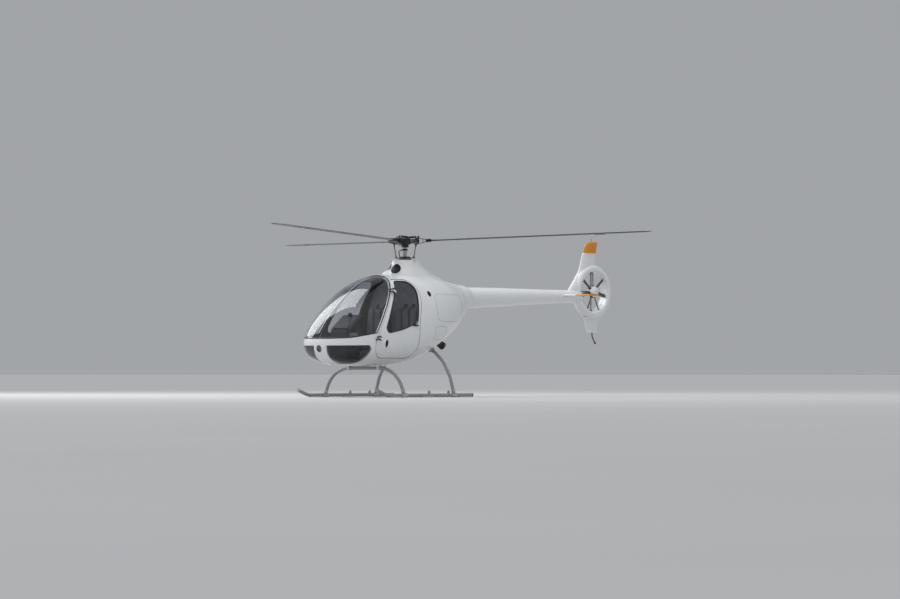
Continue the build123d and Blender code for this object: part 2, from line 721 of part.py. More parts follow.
# Fan: hub with its dome to port, seven blades; struts behind it carry the gear pod and its shaft
HUB_BACK_Y = FAN_Y - FAN_HUB_DEPTH / 2


def fan_cylinder(radius, y_from, y_to):
    with BuildPart() as part:
        with BuildSketch(FAN_PLANE.offset(-y_to)):
            Circle(radius)
        extrude(amount=y_to - y_from)
    return part.part


with BuildPart() as fan_hub:
    with BuildSketch(Plane.XY.offset(FAN_Z)):
        with BuildLine():
            dome_y = HUB_BACK_Y + FAN_HUB_DEPTH
            Polyline((FAN_X, dome_y + FAN_DOME), (FAN_X, HUB_BACK_Y), (FAN_X + FAN_HUB_R, HUB_BACK_Y), (FAN_X + FAN_HUB_R, dome_y))
            Bezier(
                (FAN_X + FAN_HUB_R, dome_y), (FAN_X + FAN_HUB_R, dome_y + 0.55 * FAN_DOME),
                (FAN_X + 0.55 * FAN_HUB_R, dome_y + FAN_DOME), (FAN_X, dome_y + FAN_DOME),
            )
        make_face()
    revolve(axis=FAN_AXIS)
    add(fan_cylinder(FAN_SHAFT_R + RUNNING_GAP, HUB_BACK_Y, FAN_Y), mode=Mode.SUBTRACT)
finish(fan_hub.part, "fan_hub")

FAN_TIP_R = DUCT_R - FAN_TIP_GAP
with BuildPart() as fan_blades:
    for index in range(FAN_BLADES):
        turn = radians(90 + index * 360 / FAN_BLADES)
        way = Vector(cos(turn), 0, sin(turn))
        with BuildPart(mode=Mode.PRIVATE) as single:
            for radius, chord, thickness, pitch in FAN_BLADE_STATIONS:
                origin = Vector(FAN_X, FAN_Y, FAN_Z) + way * radius
                plane = Plane(origin=origin, x_dir=(-sin(turn), 0, cos(turn)), z_dir=way)
                with BuildSketch(plane.rotated((0, 0, pitch))):
                    Ellipse(chord / 2, thickness / 2)
            loft()
        add(single.part)
    add(fan_cylinder(FAN_TIP_R, -DEPTH, DEPTH), mode=Mode.INTERSECT)
    add(fan_hub.part, mode=Mode.SUBTRACT)
    add(fan_cylinder(FAN_HUB_R - 2, -DEPTH, DEPTH), mode=Mode.SUBTRACT)
finish(fan_blades.part, "fan_blades")

POD_FRONT_Y = HUB_BACK_Y - FAN_POD_GAP
with BuildPart() as struts:
    add(fan_cylinder(FAN_POD_R, POD_FRONT_Y - FAN_POD_LENGTH, POD_FRONT_Y))
    add(fan_cylinder(FAN_SHAFT_R, POD_FRONT_Y, FAN_Y - SEAT_GAP))
    for heading in (90, 270, 0):
        turn = radians(heading)
        with BuildSketch(Plane(origin=(FAN_X, STRUT_Y, FAN_Z), z_dir=(cos(turn), 0, sin(turn)))):
            Circle(STRUT_R)
        extrude(amount=DUCT_R + LIP_R)
    add(shroud.part, mode=Mode.SUBTRACT)
finish(struts.part, "fan_struts")

# Stabilizer: one aerofoil through the boom, with its tips as separate pieces
STAB_QUARTER_X = STAB_LEAD_X - 0.25 * STAB_CHORD


def stabilizer(y_from, y_to):
    with BuildPart() as half:
        with BuildSketch(Plane(origin=(STAB_QUARTER_X, y_to, STAB_Z), x_dir=(1, 0, 0), z_dir=(0, -1, 0))):
            aerofoil(STAB_CHORD, STAB_T)
        extrude(amount=y_to - y_from)
    return half.part


with BuildPart() as stab:
    add(stabilizer(0, STAB_HALF_SPAN - STAB_TIP))
    add(boom.part, mode=Mode.SUBTRACT)
    mirror(about=Plane.XZ)
finish(stab.part, "stabilizer")
with BuildPart() as stab_tips:
    add(stabilizer(STAB_HALF_SPAN - STAB_TIP, STAB_HALF_SPAN))
    mirror(about=Plane.XZ)
finish(stab_tips.part, "stabilizer_tips")

# Skid gear
with BuildPart() as skids:
    for side in (1, -1):
        add(skid_line(side, SKID_R))
        with BuildSketch(Plane(origin=(0, side * SKID_HALF_GAUGE + TOW_LUG_T / 2, SHOE_T + 2 * SKID_R), x_dir=(1, 0, 0), z_dir=(0, -1, 0))):
            for x in TOW_LUG_X:
                with Locations((x, 8)):
                    Rectangle(44, 24)
                with Locations((x, 20)):
                    Circle(22)
                    Circle(TOW_BORE_R, mode=Mode.SUBTRACT)
        extrude(amount=TOW_LUG_T)
finish(skids.part, "skid_tubes")


def trimmed_arch(x, corners):
    with BuildPart() as tube:
        add(arch(x, corners, CROSS_R))
        for side in (1, -1):
            add(skid_line(side, SKID_R), mode=Mode.SUBTRACT)
            add(block((x - 100, x + 100), (side * SKID_HALF_GAUGE - 100, side * SKID_HALF_GAUGE + 100),
                      (-100, SHOE_T + SKID_R)), mode=Mode.SUBTRACT)
    return tube.part


finish(trimmed_arch(FRONT_TUBE_X, FRONT_ARCH), "cross_tube_front")
finish(trimmed_arch(REAR_TUBE_X, REAR_ARCH), "cross_tube_rear")

with BuildPart() as shoes:
    for side in (1, -1):
        for x in (REAR_TUBE_X - 220, FRONT_TUBE_X - 480, FRONT_TUBE_X + 200):
            add(block((x - SHOE_LENGTH / 2, x + SHOE_LENGTH / 2),
                      (side * SKID_HALF_GAUGE - SHOE_WIDTH / 2, side * SKID_HALF_GAUGE + SHOE_WIDTH / 2),
                      (0, SHOE_T + SKID_R / 2)))
        add(skid_line(side, SKID_R), mode=Mode.SUBTRACT)
finish(shoes.part, "skid_shoes")

with BuildPart() as saddles:
    for x, corners, y in ((FRONT_TUBE_X, FRONT_ARCH, FRONT_SADDLE_Y), (REAR_TUBE_X, REAR_ARCH, REAR_SADDLE_Y)):
        top = corners[-1][1]
        for side in (1, -1):
            add(block((x - SADDLE_LENGTH / 2, x + SADDLE_LENGTH / 2),
                      (side * y - SADDLE_WIDTH / 2, side * y + SADDLE_WIDTH / 2),
                      (top - CROSS_R - SADDLE_LIP, top + 3 * CROSS_R)))
        add(arch(x, corners, CROSS_R), mode=Mode.SUBTRACT)
    add(POD_OUTER, mode=Mode.SUBTRACT)
finish(saddles.part, "gear_saddles")

# Cabin furniture
with BuildPart() as seat_base:
    add(block((BULKHEAD_X, SEAT_FRONT_X), (-SEAT_Y - SEAT_WIDTH / 2, SEAT_Y + SEAT_WIDTH / 2), (FLOOR_Z, SEAT_TOP_Z)))
    add(POD_INNER, mode=Mode.INTERSECT)
finish(seat_base.part, "seat_base")

with BuildPart() as pads:
    for side in (1, -1):
        y = (side * SEAT_Y - SEAT_WIDTH / 2 + 10, side * SEAT_Y + SEAT_WIDTH / 2 - 10)
        add(block((SEAT_BACK_X, SEAT_FRONT_X), y, (SEAT_TOP_Z, SEAT_TOP_Z + CUSHION_T)))
        add(block((SEAT_BACK_X - BACK_T - 40, SEAT_BACK_X - 40), y, (SEAT_TOP_Z, BACK_TOP_Z)))
    fillet(pads.edges().filter_by(Axis.Y), 22)
finish(pads.part, "seat_pads")

with BuildPart() as panel:
    with BuildSketch(Plane.XZ.offset(-PANEL_WIDTH / 2)):
        with BuildLine():
            Polyline((PANEL_X[0] + 60, FLOOR_Z), (PANEL_X[0] + 40, PANEL_WAIST_Z), (PANEL_X[0], PANEL_TOP_Z - 30),
                     (PANEL_X[0] + 40, PANEL_TOP_Z), (PANEL_X[1], PANEL_NOSE_Z), (PANEL_X[1] + 20, FLOOR_Z), close=True)
        make_face()
    extrude(amount=PANEL_WIDTH)
finish(panel.part, "instrument_panel")

with BuildPart() as controls:
    for side in (1, -1):
        with BuildSketch(Plane(origin=(STICK_X, side * SEAT_Y, FLOOR_Z))):
            Circle(13)
        extrude(amount=330)
        with BuildSketch(Plane(origin=(LEVER_X, side * (SEAT_Y - SEAT_WIDTH / 2 - 25), SEAT_TOP_Z), z_dir=(cos(radians(24)), 0, sin(radians(24))))):
            Circle(12)
        extrude(amount=330)
        for offset_y in (-70, 70):
            with BuildSketch(Plane(origin=(PEDAL_X, side * PEDAL_Y + offset_y, FLOOR_Z))):
                Circle(8)
            extrude(amount=150)
    add(seat_base.part, mode=Mode.SUBTRACT)
finish(controls.part, "flight_controls")

# Hinge axis on the port side, pointing up, and planes across it
HINGE_WAY = (Vector(*HINGE_HIGH) - Vector(*HINGE_LOW)).normalized()
HINGE_IN = (Vector(0, -1, 0) - HINGE_WAY * Vector(0, -1, 0).dot(HINGE_WAY)).normalized()


def barrel(centre, low, high, radius):
    """Cylinder on the hinge line between two distances along it from a centre."""
    with BuildPart() as part:
        with BuildSketch(Plane(origin=Vector(*centre) + HINGE_WAY * low, x_dir=HINGE_IN, z_dir=HINGE_WAY)):
            Circle(radius)
        extrude(amount=high - low)
    return part.part


def hinge_arm(centre, low, high, forward):
    """Cranked arm from the hinge line to the skin, ahead of the line or behind it."""
    reach = HINGE_OFFSET + HINGE_LEG
    with BuildPart() as part:
        with BuildSketch(Plane(origin=Vector(*centre) + HINGE_WAY * low, x_dir=HINGE_IN, z_dir=HINGE_WAY)):
            Circle(HINGE_BARREL_R)
            with Locations((0, forward * reach / 2)):
                Rectangle(2 * HINGE_BARREL_R, reach)
            with Locations((HINGE_ARM / 2, forward * (HINGE_OFFSET + HINGE_LEG / 2))):
                Rectangle(HINGE_ARM, HINGE_LEG)
        extrude(amount=high - low)
    return part.part


EYE = HINGE_EYE / 2
EAR_IN = EYE + HINGE_SIDE_GAP
EAR_OUT = EAR_IN + HINGE_EAR
with BuildPart() as port_brackets:
    for centre in (HINGE_LOW, HINGE_HIGH):
        for low, high in ((-EAR_OUT, -EAR_IN), (EAR_IN, EAR_OUT)):
            add(hinge_arm(centre, low, high, 1))
        add(barrel(centre, -EAR_OUT, EAR_OUT, HINGE_PIN_R))
    add(POD_OUTER, mode=Mode.SUBTRACT)
with BuildPart() as brackets:
    add(port_brackets.part)
    mirror(about=Plane.XZ)
finish(brackets.part, "hinge_brackets")

DOOR_WINDOW = side_prism(DOOR_WINDOW_OUTLINE, 0, FAR)
with BuildPart() as door_skin:
    add(SKIN)
    add(side_prism(DOOR_OUTLINE, 0, FAR, DOOR_GAP), mode=Mode.INTERSECT)
    add(DOOR_WINDOW, mode=Mode.SUBTRACT)
with BuildPart() as door:
    add(door_skin.part)
    for centre in (HINGE_LOW, HINGE_HIGH):
        with BuildPart(mode=Mode.PRIVATE) as eye:
            add(hinge_arm(centre, -EYE, EYE, -1))
            add(POD_OUTER, mode=Mode.SUBTRACT)
            add(barrel(centre, -EYE, EYE, HINGE_PIN_R + RUNNING_GAP), mode=Mode.SUBTRACT)
        add(eye.part)
with BuildPart() as door_glass:
    add(GLASS_SKIN)
    add(DOOR_WINDOW, mode=Mode.INTERSECT)
with BuildPart() as handle:
    add(pod_body(-12))
    add(POD_OUTER, mode=Mode.SUBTRACT)
    add(block((HANDLE_X, HANDLE_X + HANDLE_LENGTH), (0, FAR), (HANDLE_Z - 12, HANDLE_Z + 12)), mode=Mode.INTERSECT)

for name, piece in (("door_%s", door.part), ("door_window_%s", door_glass.part), ("door_handle_%s", handle.part)):
    finish(piece, name % "left")
    finish(piece.mirror(Plane.XZ), name % "right")
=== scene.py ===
# %% [markdown]
# A light two-seat helicopter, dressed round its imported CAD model. The frame is in metres, with X
# forward, Y to port and Z up, and its origin is on the floor under the rotor mast. Shapes that the
# CAD model already gets right keep their meshes and only get a finish; what is too fine for it is
# modelled here and rides on the body that it moves with.

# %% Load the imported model
import math

import bmesh
import bpy
from mathutils import Matrix, Vector
from mathutils.bvhtree import BVHTree


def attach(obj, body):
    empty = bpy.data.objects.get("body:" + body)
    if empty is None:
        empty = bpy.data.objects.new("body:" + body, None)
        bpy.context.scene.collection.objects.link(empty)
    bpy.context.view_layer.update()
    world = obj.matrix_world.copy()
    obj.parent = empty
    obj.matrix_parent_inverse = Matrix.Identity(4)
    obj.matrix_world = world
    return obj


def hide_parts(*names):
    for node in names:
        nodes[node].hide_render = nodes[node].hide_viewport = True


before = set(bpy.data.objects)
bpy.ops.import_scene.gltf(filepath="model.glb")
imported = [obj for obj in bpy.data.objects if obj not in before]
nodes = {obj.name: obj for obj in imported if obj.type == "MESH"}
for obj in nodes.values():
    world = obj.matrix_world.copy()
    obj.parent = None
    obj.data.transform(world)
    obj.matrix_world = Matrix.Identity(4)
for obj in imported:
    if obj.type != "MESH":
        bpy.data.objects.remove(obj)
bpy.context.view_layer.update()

# %% [markdown]
# The photograph was taken with a long lens, level with the machine. A camera that stands far off and
# low, with a narrow view, gives the same flat perspective. It is aimed a little upward, because the
# aircraft stands low in the frame; a lens shift would follow it into every other view.

# %% Camera
VIEW_TURN = math.radians(47)
CAMERA_DISTANCE = 60.0
CAMERA_HEIGHT = 0.35
CAMERA_ASIDE = 0.657
LENS = 164.4
PITCH = math.radians(1.359) - math.atan(CAMERA_HEIGHT / CAMERA_DISTANCE)
towards_camera = Vector((math.sin(VIEW_TURN), math.cos(VIEW_TURN), 0))
image_right = Vector((-math.cos(VIEW_TURN), math.sin(VIEW_TURN), 0))

camera_data = bpy.data.cameras.new("camera")
camera_data.lens = LENS
camera_data.clip_end = 2000
camera = bpy.data.objects.new("camera", camera_data)
bpy.context.scene.collection.objects.link(camera)
camera.location = towards_camera * CAMERA_DISTANCE + image_right * CAMERA_ASIDE
camera.location.z = CAMERA_HEIGHT
gaze = Vector((0, 0, math.sin(PITCH))) - towards_camera * math.cos(PITCH)
camera.rotation_mode = "QUATERNION"
camera.rotation_quaternion = gaze.to_track_quat("-Z", "Y")
bpy.context.scene.camera = camera
print("camera at", [round(v, 2) for v in camera.location])

# %% [markdown]
# A finish is a small graph of nodes. A class that wraps a socket and knows the arithmetic operators
# lets a mask be written the way it is thought of, and one method adds every other kind of node.


# %% Node arithmetic
class Value:
    """A socket; each operator adds the Math node that works it out."""

    def __init__(self, graph, socket):
        self.graph = graph
        self.socket = socket

    def math(self, operation, *others):
        values = {0: self}
        values.update(enumerate(others, 1))
        return self.graph.add("ShaderNodeMath", {"operation": operation}, values)

    def __add__(self, other):
        return self.math("ADD", other)

    def __mul__(self, other):
        return self.math("MULTIPLY", other)

    def __sub__(self, other):
        return self.math("SUBTRACT", other)

    def __rsub__(self, other):
        return self * -1 + other

    def wave(self):
        return self.math("SINE")

    def lower(self, other):
        return self.math("MINIMUM", other)

    def higher(self, other):
        return self.math("MAXIMUM", other)

    def rise(self, start, end):
        """0 before start and 1 after end, smooth between them."""
        sockets = {"Value": self, "From Min": start, "From Max": end}
        return self.graph.add("ShaderNodeMapRange", {"interpolation_type": "SMOOTHSTEP"}, sockets)


class Graph:
    """The nodes of one material."""

    def __init__(self, name):
        self.material = bpy.data.materials.new(name)
        self.material.use_nodes = True
        self.tree = self.material.node_tree
        self.tree.nodes.clear()

    def add(self, kind, settings, sockets, output=0):
        """Adds a node, sets it up, fills its sockets with values or links, and gives one output."""
        node = self.tree.nodes.new(kind)
        for key, value in settings.items():
            setattr(node, key, value)
        for key, value in sockets.items():
            if isinstance(value, Value):
                self.tree.links.new(value.socket, node.inputs[key])
            else:
                node.inputs[key].default_value = value
        return Value(self, node.outputs[output]) if node.outputs else node

    def place(self):
        """Object coordinates: metres in the frame, because every piece sits at the origin."""
        return self.add("ShaderNodeTexCoord", {}, {}, "Object")

    def axes(self, vector):
        """The x, y and z of a vector, as three numbers."""
        split = self.add("ShaderNodeSeparateXYZ", {}, {0: vector}).socket.node
        return [Value(self, socket) for socket in split.outputs]

    def vectors(self, operation, first, second, output=0):
        """Arithmetic on two vectors; a distance or a dot product is at the output named Value."""
        return self.add("ShaderNodeVectorMath", {"operation": operation}, {0: first, 1: second}, output)

    def mapped(self, scale):
        """Object coordinates scaled, to stretch a pattern along one way."""
        return self.add("ShaderNodeMapping", {}, {"Vector": self.place(), "Scale": scale})

    def noise(self, scale, detail, vector=None):
        sockets = {"Vector": vector or self.place(), "Scale": scale, "Detail": detail}
        return self.add("ShaderNodeTexNoise", {}, sockets)

    def cells(self, scale):
        return self.add("ShaderNodeTexVoronoi", {}, {"Vector": self.place(), "Scale": scale})

    def mix(self, share, first, second):
        """A colour between two colours."""
        return self.add("ShaderNodeMix", {"data_type": "RGBA"}, {0: share, 6: first, 7: second}, 2)

    def bump(self, height, distance, strength):
        sockets = {"Height": height, "Distance": distance, "Strength": strength}
        return self.add("ShaderNodeBump", {}, sockets)

    def finish(self, sockets):
        """Closes the graph with a Principled shader and gives the material."""
        shader = self.add("ShaderNodeBsdfPrincipled", {}, sockets)
        self.add("ShaderNodeOutputMaterial", {}, {"Surface": shader})
        return self.material


def rgb(red, green, blue):
    return (red, green, blue, 1.0)


# %% [markdown]
# The fuselage is moulded in composite and sprayed white, so its gloss has faint ripples and the
# colour barely changes: the skin turns a little darker, browner and rougher where it faces the ground.
# Slow noise drives the drift, a finer one the roughness, and a bump of well under a millimetre the
# ripple. The exhaust leaves soot round it, and the inner side of the pod is lined with fleece.

# %% Sprayed paint
WHITE = rgb(0.84, 0.85, 0.86)
SHADED_WHITE = rgb(0.79, 0.805, 0.825)
SOOT_MIDDLE = (-0.64, 0.16, 0.74)
POD_MIDDLE = (0.60, 0.0, 0.95)
# Darker, browner tone for the skin that faces the ground
DOWN_FACING_TONE = rgb(0.47, 0.45, 0.41)


def paint(name, colour, shade, soot_at=None, lined=False):
    """Glossy sprayed paint, darker and browner on what faces down, with soot round a point and trim inside
    the pod.
    """
    graph = Graph(name)
    drift = graph.noise(1.3, 4).rise(0.35, 0.7)
    tint = graph.mix(drift, colour, shade)
    facing = graph.axes(graph.add("ShaderNodeNewGeometry", {}, {}, "Normal"))[2]
    speckle = graph.noise(26, 6).rise(0.30, 0.72)
    # Darker, browner and rougher where the normal points down, speckled by noise
    down_facing = (facing * -1).rise(0.05, 1.0) * (speckle * 0.5 + 0.5) * 0.34
    tint = graph.mix(down_facing, tint, DOWN_FACING_TONE)
    if soot_at:
        distance = graph.vectors("DISTANCE", graph.place(), soot_at, "Value")
        soot = (1 - distance.rise(0.04, 0.34)) * speckle * 0.6
        tint = graph.mix(soot, tint, rgb(0.03, 0.03, 0.03))
    ripple = graph.bump(graph.noise(95, 2), 0.0004, 0.25)
    rough = graph.noise(9, 5) * 0.10 + 0.16 + down_facing * 0.9
    coat = 0.5
    if lined:
        normal = graph.add("ShaderNodeNewGeometry", {}, {}, "Normal")
        outwards = graph.vectors("SUBTRACT", graph.place(), POD_MIDDLE)
        facing_out = graph.vectors("DOT_PRODUCT", normal, outwards, "Value")
        inside = (facing_out * -1).rise(0.10, 0.16)
        fleece = graph.mix(graph.noise(260, 4), rgb(0.060, 0.062, 0.067), rgb(0.105, 0.108, 0.114))
        tint = graph.mix(inside, tint, fleece)
        rough = rough + inside * 0.6
        coat = 0.5 - inside * 0.5
    return graph.finish({
        "Base Color": tint, "Roughness": rough, "Normal": ripple,
        "Coat Weight": coat, "Coat Roughness": 0.06,
    })


white_paint = paint("white_paint", WHITE, SHADED_WHITE)
cabin_paint = paint("cabin_paint", WHITE, SHADED_WHITE, lined=True)
rear_paint = paint("rear_paint", WHITE, SHADED_WHITE, soot_at=SOOT_MIDDLE)
yellow_paint = paint("yellow_paint", rgb(0.76, 0.29, 0.008), rgb(0.69, 0.24, 0.006))
print("paints made")

# %% [markdown]
# Metal parts differ in how they were made. Tubes and bolts are drawn or turned, so a noise stretched
# along one way roughens them; castings are grainy. The rotor head is painted dark and is rubbed
# bright on the edges of its fittings.

# %% Metals


def metal(name, colour, roughness, grain=(60, 60, 60), worn=None, metallic=1.0, wear=0.25):
    """Bare or painted metal with a drawn or cast grain."""
    graph = Graph(name)
    streaks = graph.noise(1.0, 4, graph.mapped(grain))
    patches = graph.noise(14, 5).rise(0.45, 0.75)
    dark = rgb(*(c * 0.72 for c in colour[:3]))
    tint = graph.mix(streaks.rise(0.3, 0.7), dark, colour)
    if worn:
        tint = graph.mix(patches * wear, tint, worn)
    rough = streaks * 0.22 + roughness - 0.08 + patches * 0.08
    return graph.finish({
        "Base Color": tint, "Roughness": rough, "Metallic": metallic,
        "Normal": graph.bump(streaks, 0.0005, 0.3),
    })


bare_steel = metal("bare_steel", rgb(0.52, 0.53, 0.54), 0.30, (220, 220, 30))
aluminium = metal("aluminium", rgb(0.68, 0.69, 0.70), 0.34, (90, 90, 90))
dark_metal = metal(
    "dark_metal", rgb(0.050, 0.052, 0.056), 0.42, (120, 120, 120), rgb(0.30, 0.29, 0.27), 0.55, 0.5
)
grey_tube = metal(
    "grey_tube", rgb(0.37, 0.375, 0.38), 0.38, (12, 300, 300), rgb(0.42, 0.42, 0.41), 0.35, 0.5
)
exhaust_steel = metal(
    "exhaust_steel", rgb(0.10, 0.085, 0.075), 0.55, (30, 30, 200), rgb(0.03, 0.028, 0.026), 0.8, 0.8
)
head_paint = metal(
    "head_paint", rgb(0.115, 0.105, 0.088), 0.40, (90, 90, 90), rgb(0.34, 0.32, 0.28), 0.75, 0.45
)
edge_guard = metal("edge_guard", rgb(0.16, 0.165, 0.17), 0.30, (20, 20, 20))
cast_engine = metal("cast_engine", rgb(0.33, 0.34, 0.35), 0.55, (180, 180, 180), None, 0.7)
print("metals made")

# %% [markdown]
# The blades are dark composite with a matt finish and faint lengthwise streaks. Plastics and rubber
# get a fine moulded grain, and the interior trim a coarser one.

# %% Composite, plastic and rubber


def moulded(name, colour, roughness, grain=900.0, depth=0.0002, coat=0.0):
    """Moulded or sprayed polymer with a fine grain."""
    graph = Graph(name)
    pores = graph.cells(grain)
    patches = graph.noise(7, 5).rise(0.35, 0.7)
    lighter = rgb(*(min(1.0, c * 1.28 + 0.004) for c in colour[:3]))
    return graph.finish({
        "Base Color": graph.mix(patches, colour, lighter),
        "Roughness": patches * 0.10 + roughness,
        "Normal": graph.bump(pores, depth, 0.5),
        "Coat Weight": coat,
    })


black_plastic = moulded("black_plastic", rgb(0.016, 0.016, 0.018), 0.42)
seal_rubber = moulded("seal_rubber", rgb(0.010, 0.011, 0.013), 0.30, 500, 0.0001, 0.3)
panel_black = moulded("panel_black", rgb(0.022, 0.023, 0.026), 0.60, 1400)
blade_grey = moulded("blade_grey", rgb(0.062, 0.066, 0.073), 0.36, 260, 0.0001)
red_plastic = moulded("red_plastic", rgb(0.42, 0.02, 0.015), 0.38)
inside_trim = moulded("inside_trim", rgb(0.30, 0.305, 0.31), 0.62, 420, 0.0004)
carpet = moulded("carpet", rgb(0.075, 0.08, 0.088), 0.92, 700, 0.0015)
dark_gap = moulded("dark_gap", rgb(0.012, 0.012, 0.013), 0.7)
print("plastics made")

# %% [markdown]
# The seats are covered in grey leather. Voronoi cells make its pebbled grain at about a millimetre,
# and slow noise the stretched and rubbed places. Harness webbing is woven, so two crossed waves give
# its ribs.

# %% Leather and webbing


def leather(name, colour):
    graph = Graph(name)
    pebbles = graph.cells(620)
    rubbed = graph.noise(6, 6).rise(0.42, 0.72)
    darker = rgb(*(c * 0.62 for c in colour[:3]))
    tint = graph.mix(pebbles.rise(0.0, 0.6), darker, colour)
    tint = graph.mix(rubbed * 0.35, tint, rgb(*(min(1.0, c * 1.5) for c in colour[:3])))
    return graph.finish({
        "Base Color": tint, "Roughness": 0.56 - rubbed * 0.14,
        "Normal": graph.bump(pebbles + graph.noise(90, 3) * 0.4, 0.0006, 0.6),
    })


def webbing(name, colour):
    graph = Graph(name)
    x, y, z = graph.axes(graph.place())
    ribs = ((x + y + z) * 2600).wave() * 0.5 + 0.5
    picks = ((x - y + z) * 1900).wave() * 0.5 + 0.5
    weave = ribs.higher(picks)
    return graph.finish({
        "Base Color": graph.mix(weave, rgb(*(c * 0.55 for c in colour[:3])), colour),
        "Roughness": 0.72, "Normal": graph.bump(weave, 0.0005, 0.5),
    })


seat_leather = leather("seat_leather", rgb(0.155, 0.158, 0.165))
stitched_leather = leather("stitched_leather", rgb(0.085, 0.088, 0.095))
belt_webbing = webbing("belt_webbing", rgb(0.06, 0.065, 0.08))
print("soft finishes made")

# %% [markdown]
# Windows are thin curved acrylic. A transparent shader under a glossy one, mixed by how steeply the
# surface is seen, keeps them clear from the front and bright at the rim, lets light into the cabin,
# and needs no refraction. The top of the windscreen is tinted against the sun.

# %% Glazing


def acrylic(name, clear, tinted, tint_from, tint_to, gloss=1.0):
    """Clear sheet that darkens between two heights."""
    graph = Graph(name)
    height = graph.axes(graph.place())[2]
    colour = graph.mix(height.rise(tint_from, tint_to), clear, tinted)
    smears = graph.noise(5, 5, graph.mapped((1, 4, 1))).rise(0.4, 0.8)
    slant = graph.add("ShaderNodeLayerWeight", {}, {"Blend": 0.5}, "Facing")
    share = (slant.math("POWER", 5.0) * 0.85 + 0.030 * gloss + smears * 0.012).lower(1.0)
    clear_part = graph.add("ShaderNodeBsdfTransparent", {}, {"Color": colour})
    shine = graph.add("ShaderNodeBsdfAnisotropic", {}, {"Color": rgb(0.95, 0.96, 0.97), "Roughness": 0.04})
    both = graph.add("ShaderNodeMixShader", {}, {0: share, 1: clear_part, 2: shine})
    graph.add("ShaderNodeOutputMaterial", {}, {"Surface": both})
    return graph.material


windscreen_glass = acrylic(
    "windscreen_glass", rgb(0.955, 0.96, 0.965), rgb(0.74, 0.755, 0.79), 1.20, 1.66, 1.5
)
door_glass = acrylic("door_glass", rgb(0.90, 0.905, 0.915), rgb(0.80, 0.81, 0.84), 1.0, 1.6)
chin_glass = acrylic("chin_glass", rgb(0.66, 0.66, 0.67), rgb(0.62, 0.62, 0.63), 0.5, 0.8)
lens_glass = acrylic("lens_glass", rgb(0.93, 0.94, 0.95), rgb(0.93, 0.94, 0.95), 0.5, 0.8)
print("glazing made")

# %% [markdown]
# The CAD nodes keep their meshes. Each is given the finish of the real part in its own slots.

# %% Finishes of the CAD nodes
FINISHES = {
    white_paint: "pylon_fairing tail_boom fan_shroud upper_fin ventral_fin stabilizer",
    cabin_paint: "nose_tub cabin_roof door_left door_right",
    rear_paint: "rear_fuselage",
    yellow_paint: "fin_tip stabilizer_tips",
    inside_trim: "bulkhead seat_base",
    carpet: "cabin_floor",
    windscreen_glass: "windscreen",
    door_glass: "door_window_left door_window_right",
    chin_glass: "chin_windows",
    lens_glass: "landing_light",
    dark_metal: "swashplate_fixed rotor_hub pitch_links lag_dampers hinge_brackets",
    head_paint: "blade_grips swashplate_turning",
    bare_steel: "rotor_mast",
    aluminium: "mast_housing gear_saddles skid_shoes",
    grey_tube: "skid_tubes cross_tube_front cross_tube_rear fan_struts",
    blade_grey: "blade_1 blade_2 blade_3 fan_blades",
    black_plastic: "inlet_screens door_handle_left door_handle_right tail_skid flight_controls",
    panel_black: "instrument_panel",
    seat_leather: "seat_pads",
    exhaust_steel: "exhaust_pipe",
    cast_engine: "engine_block",
}
for material, names in FINISHES.items():
    for name in names.split():
        for index in range(len(nodes[name].data.materials)):
            nodes[name].data.materials[index] = material
nodes["fan_hub"].data.materials[0] = white_paint
print("finishes on", sum(len(names.split()) for names in FINISHES.values()) + 1, "nodes")

# %% [markdown]
# Fine parts are built in bmesh, straight in the frame's coordinates. A lathe spins a profile for
# bolts, caps and rings; a sweep bridges copies of a line along the skin, for seals and straps; a
# patch lays a grid where a function says. Each piece rides on the body that carries it.


# %% Builders
def new_faces(bm, known):
    bm.faces.ensure_lookup_table()
    return bm.faces[known:]


def lathe(bm, profile, place, way, steps=20, material=0, closed=False):
    """Spins a profile of (radius, height) round a line."""
    place, way = Vector(place), Vector(way).normalized()
    turn = Matrix.Translation(place) @ way.to_track_quat("Z", "Y").to_matrix().to_4x4()
    known = len(bm.faces)
    verts = [bm.verts.new(turn @ Vector((radius, 0, height))) for radius, height in profile]
    edges = [bm.edges.new(pair) for pair in zip(verts, verts[1:] + verts[:1] if closed else verts[1:])]
    bmesh.ops.spin(
        bm, geom=verts + edges, cent=place, axis=way, angle=math.tau, steps=steps, use_merge=True,
        use_duplicate=False,
    )
    made = new_faces(bm, known)
    for face in made:
        face.material_index = material
    touched = list({vert for face in made for vert in face.verts})
    bmesh.ops.remove_doubles(bm, verts=touched, dist=1e-6)


def rod(bm, start, end, radius, steps=12, material=0):
    """A turned rod with eased ends."""
    start, end = Vector(start), Vector(end)
    ease = radius * 0.3
    length = (end - start).length
    profile = [
        (0, 0), (radius - ease, 0), (radius, ease), (radius, length - ease), (radius - ease, length),
        (0, length),
    ]
    lathe(bm, profile, start, end - start, steps, material)


def screw(bm, place, way, size, material=0):
    """A cap screw on a washer, with a socket in its head."""
    profile = [
        (0, 0.25), (0.42, 0.25), (0.46, 0.82), (0.74, 0.82), (0.84, 0.70), (0.86, 0.22), (1.25, 0.18),
        (1.3, -0.1), (0, -0.1),
    ]
    lathe(bm, [(r * size, h * size) for r, h in profile], place, way, 12, material)


def nut(bm, place, way, size, material=0):
    """A six-sided nut on a washer, with the bolt's end through it."""
    hexagon = [
        (0, 0.15), (1.15, 0.15), (1.15, 0.95), (1.0, 1.15), (0.62, 1.15), (0.62, 1.6), (0.5, 1.7), (0, 1.7),
    ]
    washer = [(0, -0.05), (1.45, -0.05), (1.5, 0), (1.5, 0.14), (0, 0.14)]
    lathe(bm, [(r * size, h * size) for r, h in hexagon], place, way, 6, material)
    lathe(bm, [(r * size, h * size) for r, h in washer], place, way, 16, material)


